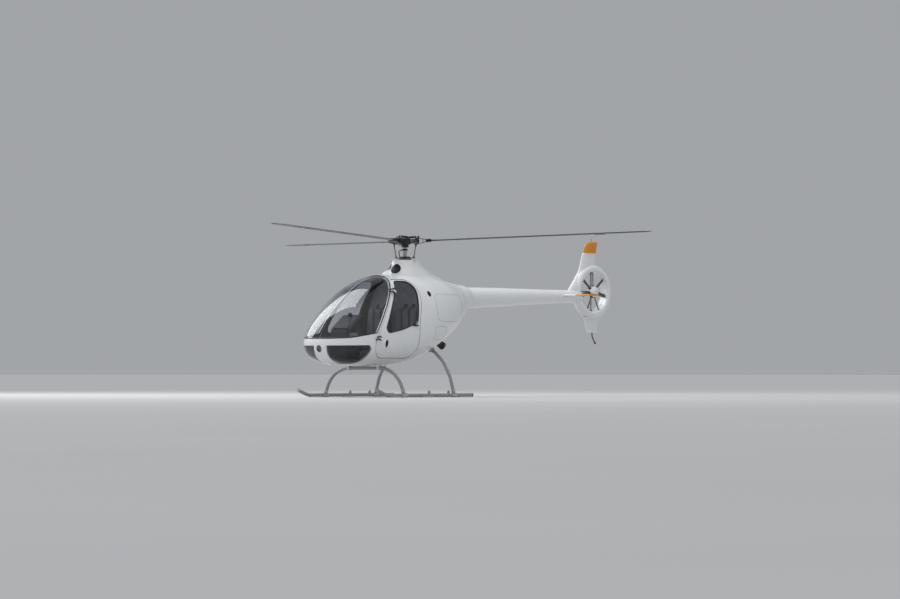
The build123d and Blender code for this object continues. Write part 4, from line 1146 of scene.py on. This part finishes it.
for sign in (1, -1):
    y = SKID_Y * sign
    for x, top_y in LEGS:
        leg = Vector((0, (top_y - SKID_Y) * sign, LEG_TOP - SKID_Z)).normalized()
        foot = Vector((x, y, SKID_Z))
        sleeve = foot + leg * 0.062
        clamp(gear, sleeve, leg, 0.0243, 0.0045, 0.020)
        clamp(gear, foot, (1, 0, 0), 0.0253, 0.0040, 0.058)
        for ahead in (-0.044, 0.044):
            screw(gear, Vector((x + ahead, y, 0.0595)), (0, 0, 1), 0.0055, 1)
            screw(gear, Vector((x + ahead, y - sign * 0.0285, SKID_Z)), (0, -sign, 0), 0.0055, 1)
        for lean in (1, -1):
            screw(gear, sleeve + Vector((0.0285 * lean, 0, 0)), (lean, 0, 0), 0.005, 1)
    lathe(gear, TUBE_CAP, (-0.585, y, SKID_Z), (-1, 0, 0), 32, 2)
for x, y, top in ((0.850, 0.300, 0.421), (-0.200, 0.345, 0.686)):
    for sign in (1, -1):
        for aside in (-0.026, 0.026):
            clamp(gear, (x, (y + aside) * sign, top), (0, 1, 0), 0.0243, 0.0042, 0.0065)
piece("gear_fittings", gear, [aluminium, bare_steel, black_plastic], "fuselage")
print("gear fittings made")

# %% [markdown]
# Two upholstered seats. Each cushion begins as a rounded block, is remeshed finely, and is blown up
# as cloth with its underside and its sewn channels held, so that the leather puffs between them. How
# far a point may move is capped, and the result is kept as a plain mesh.


# %% Cushions
CLOTH_FRAMES = 20


def cushion(name, low, high, thick, channels, cap):
    """A pad between two corners; thick is its thin axis, and channels are held lines across it."""
    low, high = Vector(low), Vector(high)
    centre, size = (low + high) / 2, high - low
    start = bmesh.new()
    slab(start, centre, tuple(v - 0.012 for v in size), None, 0.024, 5)
    mesh = bpy.data.meshes.new(name + "_start")
    start.to_mesh(mesh)
    start.free()
    pad = bpy.data.objects.new(name + "_start", mesh)
    bpy.context.scene.collection.objects.link(pad)
    remesh = pad.modifiers.new("remesh", "REMESH")
    remesh.mode = "VOXEL"
    remesh.voxel_size = 0.0075
    depsgraph = bpy.context.evaluated_depsgraph_get()
    fine = bpy.data.meshes.new_from_object(pad.evaluated_get(depsgraph))
    pad.modifiers.clear()
    pad.data = fine
    rest = [vert.co.copy() for vert in fine.vertices]
    axis, along = thick
    moved = rest
    held = []
    for vert in fine.vertices:
        depth = (vert.co[axis] - low[axis]) / size[axis]
        inside = depth > 0.6
        line = inside and any(abs(vert.co[way] - place) < 0.006 for way, place in channels)
        if depth < 0.12 or line:
            held.append(vert.index)
    pad.vertex_groups.new(name="held").add(held, 1.0, "REPLACE")
    cloth = pad.modifiers.new("cloth", "CLOTH")
    cloth.settings.use_pressure = True
    cloth.settings.uniform_pressure_force = 4.0
    cloth.settings.effector_weights.gravity = 0
    cloth.settings.vertex_group_mass = "held"
    cloth.settings.quality = 4
    for frame_number in range(1, CLOTH_FRAMES + 1):
        bpy.context.scene.frame_set(frame_number)
    depsgraph = bpy.context.evaluated_depsgraph_get()
    blown = pad.evaluated_get(depsgraph).to_mesh()
    moved = []
    for before, vert in zip(rest, blown.vertices):
        step = vert.co - before
        moved.append(before + step * min(1.0, cap / max(step.length, 1e-9)))
    pad.evaluated_get(depsgraph).to_mesh_clear()
    pad.modifiers.clear()
    bpy.context.scene.frame_set(1)
    fine.vertices.foreach_set("co", [number for place in moved for number in place])
    fine.update()
    bpy.data.objects.remove(pad)
    print(name, len(rest), "points, moved", round(max((a - b).length for a, b in zip(rest, moved)), 4))
    return fine


def padded_copy(name, shape, shift):
    """One cushion from a shape that was worked out once, moved to its seat."""
    mesh = shape.copy()
    mesh.name = name
    mesh.transform(Matrix.Translation(shift))
    mesh.materials.clear()
    mesh.materials.append(seat_leather)
    mesh.polygons.foreach_set("use_smooth", [True] * len(mesh.polygons))
    obj = bpy.data.objects.new(name, mesh)
    bpy.context.scene.collection.objects.link(obj)
    smooth = obj.modifiers.new("smooth", "SUBSURF")
    smooth.levels = smooth.render_levels = 1
    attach(obj, "fuselage")
    return obj


SEAT_Y = 0.282
seat_shape = cushion(
    "seat_shape", (0.335, -0.208, 0.681), (0.760, 0.208, 0.765), (2, 0),
    ((1, -0.105), (1, 0.105), (0, 0.46), (0, 0.62)), 0.011,
)
back_shape = cushion(
    "back_shape", (0.210, -0.208, 0.690), (0.295, 0.208, 1.290), (0, 2),
    ((1, -0.105), (1, 0.105), (2, 0.92), (2, 1.12)), 0.011,
)
cushions = []
for label, y in (("left", SEAT_Y), ("right", -SEAT_Y)):
    cushions.append(padded_copy("seat_cushion_" + label, seat_shape, (0, y, 0)))
    cushions.append(padded_copy("back_cushion_" + label, back_shape, (0, y, 0)))
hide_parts("seat_pads")

# %% [markdown]
# Piping follows the edge of every cushion, and the harness lies on the leather: a lap strap from each
# hip and a pair of shoulder straps meet at a round buckle.


# %% Piping and harness
def cushion_tree(obj):
    bm = bmesh.new()
    bm.from_mesh(obj.data)
    tree = BVHTree.FromBMesh(bm)
    bm.free()
    return tree


def strap(bm, tree, points, side, width, thickness, material=0):
    """A flat strap along a route, pressed onto whatever of the tree lies near it."""
    route = [Vector(point) for point in points]
    lengths = [(b - a).length for a, b in zip(route, route[1:])]
    total = sum(lengths)

    def laid(u, v):
        target = v * total
        i = 0
        while i < len(lengths) - 1 and target > lengths[i]:
            target -= lengths[i]
            i += 1
        spot = route[i].lerp(route[i + 1], min(1.0, target / lengths[i])) + side * (u - 0.5) * width
        near, normal, index, far = tree.find_nearest(spot, 0.045)
        return near + normal * 0.0022 if near else spot

    patch(bm, 6, max(8, round(total / 0.012)), laid, thickness, material)


BEAD_RADIUS = 0.0032
ROUND_BEAD = [
    (BEAD_RADIUS * math.cos(math.tau * k / 8), BEAD_RADIUS * math.sin(math.tau * k / 8)) for k in range(8)
]
BUCKLE = [
    (0, 0.016), (0.012, 0.0155), (0.018, 0.013), (0.021, 0.010), (0.028, 0.009), (0.031, 0.006),
    (0.031, -0.004), (0, -0.004),
]
for label, y, seat, back in (
    ("left", SEAT_Y, cushions[0], cushions[1]), ("right", -SEAT_Y, cushions[2], cushions[3]),
):
    seat_tree, back_tree = cushion_tree(seat), cushion_tree(back)
    piping = bmesh.new()
    for tree, centre, axes, half in (
        (seat_tree, Vector((0.5475, y, 0.752)), (Vector((1, 0, 0)), Vector((0, 1, 0))), (0.206, 0.202)),
        (back_tree, Vector((0.288, y, 0.985)), (Vector((0, 0, 1)), Vector((0, 1, 0))), (0.296, 0.202)),
    ):
        points, ups = [], []
        for k in range(120):
            turn = math.tau * k / 120
            cos, sin = math.cos(turn), math.sin(turn)
            swell = (abs(cos) ** 8 + abs(sin) ** 8) ** (-1 / 8)
            near, normal, index, far = tree.find_nearest(
                centre + axes[0] * cos * swell * half[0] + axes[1] * sin * swell * half[1]
            )
            points.append(near)
            ups.append(normal)
        swept(piping, frames(points, ups), ROUND_BEAD)
    piece("seat_piping_" + label, piping, [stitched_leather], "fuselage", 80)

    belts = bmesh.new()
    buckle = Vector((0.395, y, 0.792))
    for side in (-0.075, 0.075):
        strap(belts, back_tree, [
            (0.192, y + side, 1.335), (0.215, y + side, 1.322), (0.262, y + side, 1.308),
            (0.304, y + side, 1.262), (0.306, y + side, 1.05), (0.306, y + side * 0.9, 0.90),
            (0.312, y + side * 0.6, 0.815), (0.345, y + side * 0.42, 0.792), (0.380, y + side * 0.28, 0.789),
        ], Vector((0, 1, 0)), 0.042, 0.0016)
        sign = 1 if side > 0 else -1
        strap(belts, seat_tree, [
            (0.350, y + sign * 0.225, 0.700), (0.360, y + sign * 0.214, 0.745),
            (0.372, y + sign * 0.190, 0.778), (0.388, y + sign * 0.110, 0.786),
            (0.395, y + sign * 0.024, 0.787),
        ], Vector((1, 0, 0)), 0.045, 0.0016)
        slab(belts, buckle + Vector((0.0, sign * 0.044, -0.001)), (0.046, 0.034, 0.006), None, 0.0015, 2, 1)
        slab(belts, Vector((0.350, y + sign * 0.226, 0.694)), (0.048, 0.006, 0.026), None, 0.0018, 2, 1)
        slab(belts, Vector((0.191, y + side, 1.337)), (0.007, 0.056, 0.034), None, 0.002, 2, 1)
    lathe(belts, BUCKLE, buckle, (0, 0, 1), 32, 2)
    slab(belts, buckle + Vector((0, 0, 0.0165)), (0.030, 0.007, 0.004), None, 0.0012, 2, 3)
    finishes = [belt_webbing, bare_steel, black_plastic, red_plastic]
    piece("harness_" + label, belts, finishes, "fuselage")
print("seats made")

# %% [markdown]
# The controls stand on the floor: a stick with a moulded grip and a rubber boot for each seat, a
# lever beside each seat, and ribbed pedals. The pedestal in front carries a hood, two screens and
# round dials with needles, a row of switches, and a compass on top.

# %% Flight controls
GRIP = [
    (0, 0.150), (0.012, 0.149), (0.0185, 0.144), (0.0215, 0.130), (0.0190, 0.112), (0.0205, 0.095),
    (0.0180, 0.078), (0.0195, 0.060), (0.0175, 0.044), (0.0185, 0.022), (0.0210, 0.006), (0.0210, 0), (0, 0),
]
BOOT = [
    (0.0132, 0.105), (0.017, 0.100), (0.021, 0.094), (0.018, 0.088), (0.028, 0.080), (0.023, 0.073),
    (0.036, 0.064), (0.030, 0.056), (0.046, 0.044), (0.040, 0.036), (0.057, 0.022), (0.052, 0.012),
    (0.066, 0.007), (0.068, 0.001), (0.0132, 0.001),
]
LEVER_RISE = math.radians(24)
lever = Vector((math.cos(LEVER_RISE), 0, math.sin(LEVER_RISE)))
lever_turn = Matrix.Rotation(-LEVER_RISE, 3, "Y")
lean = Vector((-0.10, 0, 1)).normalized()
lean_back = Matrix.Rotation(math.radians(-14), 3, "Y")
sticks = bmesh.new()
for sign in (1, -1):
    lathe(sticks, GRIP, (0.900, SEAT_Y * sign, 0.800), lean, 28)
    lathe(sticks, BOOT, (0.900, SEAT_Y * sign, 0.545), (0, 0, 1), 36, 1, True)
    slab(sticks, Vector((0.878, SEAT_Y * sign, 0.938)), (0.014, 0.020, 0.012), None, 0.003, 2, 2)
    lathe(sticks, [(0, 0.008), (0.005, 0.007), (0.006, 0), (0, 0)], (0.885, SEAT_Y * sign + 0.006, 0.948),
          (0, 0, 1), 16, 2)
    base = Vector((0.430, 0.039 * sign, 0.680))
    ribs = [(0, 0.140), (0.012, 0.139), (0.018, 0.134)]
    for k in range(9):
        top = 0.126 - 0.013 * k
        ribs += [(0.0195, top), (0.0195, top - 0.006), (0.0175, top - 0.009)]
    ribs += [(0.0205, 0.006), (0.0205, 0), (0, 0)]
    lathe(sticks, ribs, base + lever * 0.200, lever, 24)
    slab(sticks, base + lever * 0.352, (0.030, 0.040, 0.028), lever_turn, 0.005, 3)
    for ahead in (-0.008, 0.008):
        lathe(sticks, [(0, 0.010), (0.0035, 0.009), (0.0042, 0.003), (0.006, 0), (0, 0)],
              base + lever * (0.352 + ahead) + Vector((0, 0, 0.015)), (0, 0, 1), 12, 2)
    for offset in (-0.070, 0.070):
        pad = Vector((1.292, 0.270 * sign + offset, 0.700))
        slab(sticks, pad, (0.010, 0.092, 0.082), lean_back, 0.004, 3, 3)
        for k in range(-2, 3):
            rod(sticks, pad + lean_back @ Vector((-0.006, -0.038, 0.014 * k)),
                pad + lean_back @ Vector((-0.006, 0.038, 0.014 * k)), 0.0026, 8, 0)
        slab(sticks, Vector((1.300, 0.270 * sign + offset, 0.549)), (0.060, 0.036, 0.008), None, 0.003, 2, 3)
finishes = [black_plastic, seal_rubber, red_plastic, dark_metal]
piece("control_grips", sticks, finishes, "fuselage")

# %% Instruments
dash = bmesh.new()
face_way = Vector((-0.985, 0, -0.171))
face_up = Vector((-0.171, 0, 0.985))
face_turn = axes_turn(face_up.cross(face_way), face_up, face_way)
face_centre = Vector((1.0985, 0, 1.022))


def on_face(across, up, lift=0.0):
    """A place on the panel's face, which leans towards the seats."""
    return face_centre + Vector((0, -across, 0)) + face_up * up + face_way * lift


for across in (-0.078, 0.078):
    slab(dash, on_face(across, 0.045, 0.003), (0.136, 0.102, 0.008), face_turn, 0.003, 3, 0)
    slab(dash, on_face(across, 0.045, 0.0075), (0.116, 0.082, 0.002), face_turn, 0.0008, 2, 2)
    for k in range(5):
        lathe(dash, [(0, 0.005), (0.0035, 0.0045), (0.0042, 0), (0, 0)],
              on_face(across - 0.048 + 0.024 * k, 0.000, 0.006), face_way, 12, 0)
DIAL_RIM = [
    (0.0, 0.0035), (0.0255, 0.0035), (0.0270, 0.0085), (0.0305, 0.0080), (0.0325, 0.004), (0.0325, -0.002),
    (0, -0.002),
]
NEEDLES = (35, -60, 120, 200)
for k, needle in enumerate(NEEDLES):
    spot = on_face(-0.114 + 0.076 * k, -0.045)
    lathe(dash, DIAL_RIM, spot, face_way, 36, 0)
    lathe(dash, [(0, 0.0045), (0.0252, 0.0045), (0.0252, 0.0036), (0, 0.0036)], spot, face_way, 36, 3)
    lathe(dash, [(0, 0.0062), (0.0022, 0.0062), (0.0030, 0.0045), (0, 0.0045)], spot, face_way, 12, 1)
    turn = math.radians(needle)
    way = face_turn @ Vector((math.cos(turn), math.sin(turn), 0))
    pivot = spot + face_way * 0.0058
    rod(dash, pivot, pivot + way * 0.020, 0.0007, 6, 1)
    face = spot + face_way * 0.0048
    for tick in range(10):
        mark = math.tau * (tick + 0.5) / 12 + math.tau / 4
        way = face_turn @ Vector((math.cos(mark), math.sin(mark), 0))
        rod(dash, face + way * 0.0205, face + way * 0.0242, 0.0005, 5, 1)
SWITCH_BASE = [(0, 0.004), (0.006, 0.004), (0.0075, 0.002), (0.0075, -0.001), (0, -0.001)]
for k in range(7):
    spot = on_face(-0.120 + 0.040 * k, -0.100)
    lathe(dash, SWITCH_BASE, spot, face_way, 16, 0)
    rod(dash, spot, spot + face_way * 0.016 + face_up * 0.006, 0.0022, 8, 1)


def hood(u, v):
    """The glare shield: level at first, then sloping down ahead, with its sides bent down."""
    x = 1.050 + 0.315 * v
    y = (u - 0.5) * 0.390
    edge = abs(2 * u - 1)
    ridge = 1.176 if x < 1.125 else 1.176 - (x - 1.125) * 0.80
    return Vector((x, y, ridge + 0.010 * (1 - edge ** 2) - 0.030 * max(0.0, edge - 0.82) / 0.18))


COMPASS = [
    (0, 0.0), (0.020, 0.0), (0.026, 0.006), (0.030, 0.022), (0.029, 0.040), (0.022, 0.052), (0.010, 0.058),
    (0, 0.059),
]
patch(dash, 28, 20, hood, 0.004, 0)
lathe(dash, COMPASS, (1.150, 0, 1.160), (0, 0, 1), 32, 0)
lathe(dash, [(0, 0.004), (0.017, 0.004), (0.019, 0.0), (0, 0)], (1.1235, 0, 1.187), (-1, 0, 0), 28, 3)
for sign in (1, -1):
    slab(dash, Vector((1.235, 0.1665 * sign, 0.80)), (0.190, 0.004, 0.260), None, 0.0018, 2, 0)
    for x in (1.152, 1.318):
        for z in (0.685, 0.915):
            screw(dash, (x, 0.1682 * sign, z), (0, sign, 0), 0.0034, 4)
    for k in range(6):
        slab(dash, Vector((1.235, 0.170 * sign, 0.73 + 0.022 * k)), (0.110, 0.005, 0.007), None, 0.0018, 2, 0)
dial_face = moulded("dial_face", rgb(0.008, 0.008, 0.010), 0.25, 200, 0.00005, 0.6)
dial_mark = moulded("dial_mark", rgb(0.80, 0.80, 0.76), 0.45, 200, 0.00005)
screen_glass = moulded("screen_glass", rgb(0.010, 0.014, 0.020), 0.08, 60, 0.00002, 0.8)
finishes = [panel_black, dial_mark, screen_glass, dial_face, bare_steel]
piece("instruments", dash, finishes, "fuselage")
print("controls and instruments made")

# %% [markdown]
# The doors have a padded panel, an armrest over it and a pull strap, which are patches laid against
# the inner skin by rays from the middle of the cabin. The floor has ribbed rubber mats.

# %% Door cards and mats
for label, node, body, sign in (
    ("door_card_left", "door_left", "left_door", 1), ("door_card_right", "door_right", "right_door", -1),
):
    skin = tree_of(node)
    card = bmesh.new()

    def inner(x, z, lift):
        """A place on the door's inner side, lifted into the cabin."""
        spot, normal, index, far = skin.ray_cast(Vector((x, 0, z)), Vector((0, sign, 0)), 1.2)
        return spot - Vector((0, sign, 0)) * lift

    def pad(u, v):
        a, b = 2 * u - 1, 2 * v - 1
        x = 0.735 + 0.330 * a * math.sqrt(1 - 0.35 * b * b)
        z = 0.745 + 0.085 * b * math.sqrt(1 - 0.12 * a * a)
        return inner(x, z, 0.004 + 0.007 * (1 - a ** 4) * (1 - b ** 4))

    patch(card, 40, 16, pad, 0.002, 0)

    def rest(u, v):
        x = 0.55 + 0.34 * v
        turn = math.pi * u
        bulge = math.sin(math.pi * v) ** 0.25
        return inner(x, 0.858 + 0.026 * math.cos(turn), 0.004 + 0.038 * math.sin(turn) * bulge)

    patch(card, 14, 30, rest, 0.003, 1)

    def pull(u, v):
        x = 0.985 + (u - 0.5) * 0.026
        z = 0.70 + 0.15 * v
        return inner(x, z, 0.004 + 0.020 * math.sin(math.pi * v) ** 0.6)

    patch(card, 4, 24, pull, 0.002, 2)
    for z in (0.704, 0.846):
        spot = inner(0.985, z, 0.006)
        screw(card, spot, (0, -sign, 0), 0.0045, 3)
    piece(label, card, [inside_trim, stitched_leather, belt_webbing, bare_steel], body)

mats = bmesh.new()
for sign in (1, -1):
    slab(mats, Vector((0.990, 0.300 * sign, 0.549)), (0.360, 0.300, 0.006), None, 0.0025, 2)
    for k in range(15):
        slab(mats, Vector((0.850 + 0.020 * k, 0.300 * sign, 0.5535)), (0.008, 0.270, 0.004), None, 0.0012, 1)
piece("floor_mats", mats, [seal_rubber], "fuselage")
print("cabin dressed")

# %% [markdown]
# The aircraft stands in a plain studio: a very large pale floor, a wide soft key from above and from
# the nose, which models the roof and the port side, a large soft box high on the starboard side, and
# a pale world that fills the shade.

# %% Studio
bpy.context.scene.view_settings.view_transform = "Standard"
floor_mesh = bpy.data.meshes.new("floor")
floor_bm = bmesh.new()
bmesh.ops.create_grid(floor_bm, x_segments=4, y_segments=4, size=600)
floor_bm.to_mesh(floor_mesh)
floor_bm.free()
floor = bpy.data.objects.new("floor", floor_mesh)
bpy.context.scene.collection.objects.link(floor)
floor_graph = Graph("studio_floor")
floor_tone = floor_graph.mix(floor_graph.noise(0.4, 3), rgb(0.55, 0.555, 0.56), rgb(0.585, 0.59, 0.595))
floor_mesh.materials.append(floor_graph.finish({"Base Color": floor_tone, "Roughness": 0.85}))

world = bpy.data.worlds.new("studio")
world.use_nodes = True
world.node_tree.nodes["Background"].inputs["Color"].default_value = rgb(0.86, 0.89, 0.93)
world.node_tree.nodes["Background"].inputs["Strength"].default_value = 0.42
bpy.context.scene.world = world

key_data = bpy.data.lights.new("key", "SUN")
key_data.energy = 1.35
key_data.angle = math.radians(28)
key = bpy.data.objects.new("key", key_data)
bpy.context.scene.collection.objects.link(key)
key.rotation_mode = "QUATERNION"
key_from = Vector((0.55, 0.30, 1.35))
key.rotation_quaternion = key_from.to_track_quat("Z", "Y")
key.visible_glossy = False

box_data = bpy.data.lights.new("softbox", "AREA")
box_data.shape = "RECTANGLE"
box_data.size, box_data.size_y = 20.0, 7.0
box_data.energy = 1500
softbox = bpy.data.objects.new("softbox", box_data)
bpy.context.scene.collection.objects.link(softbox)
softbox.location = (2.0, -8.5, 12.0)
softbox.rotation_mode = "QUATERNION"
softbox.rotation_quaternion = (softbox.location - Vector((0, 0, 1))).to_track_quat("Z", "X")
softbox.visible_camera = False
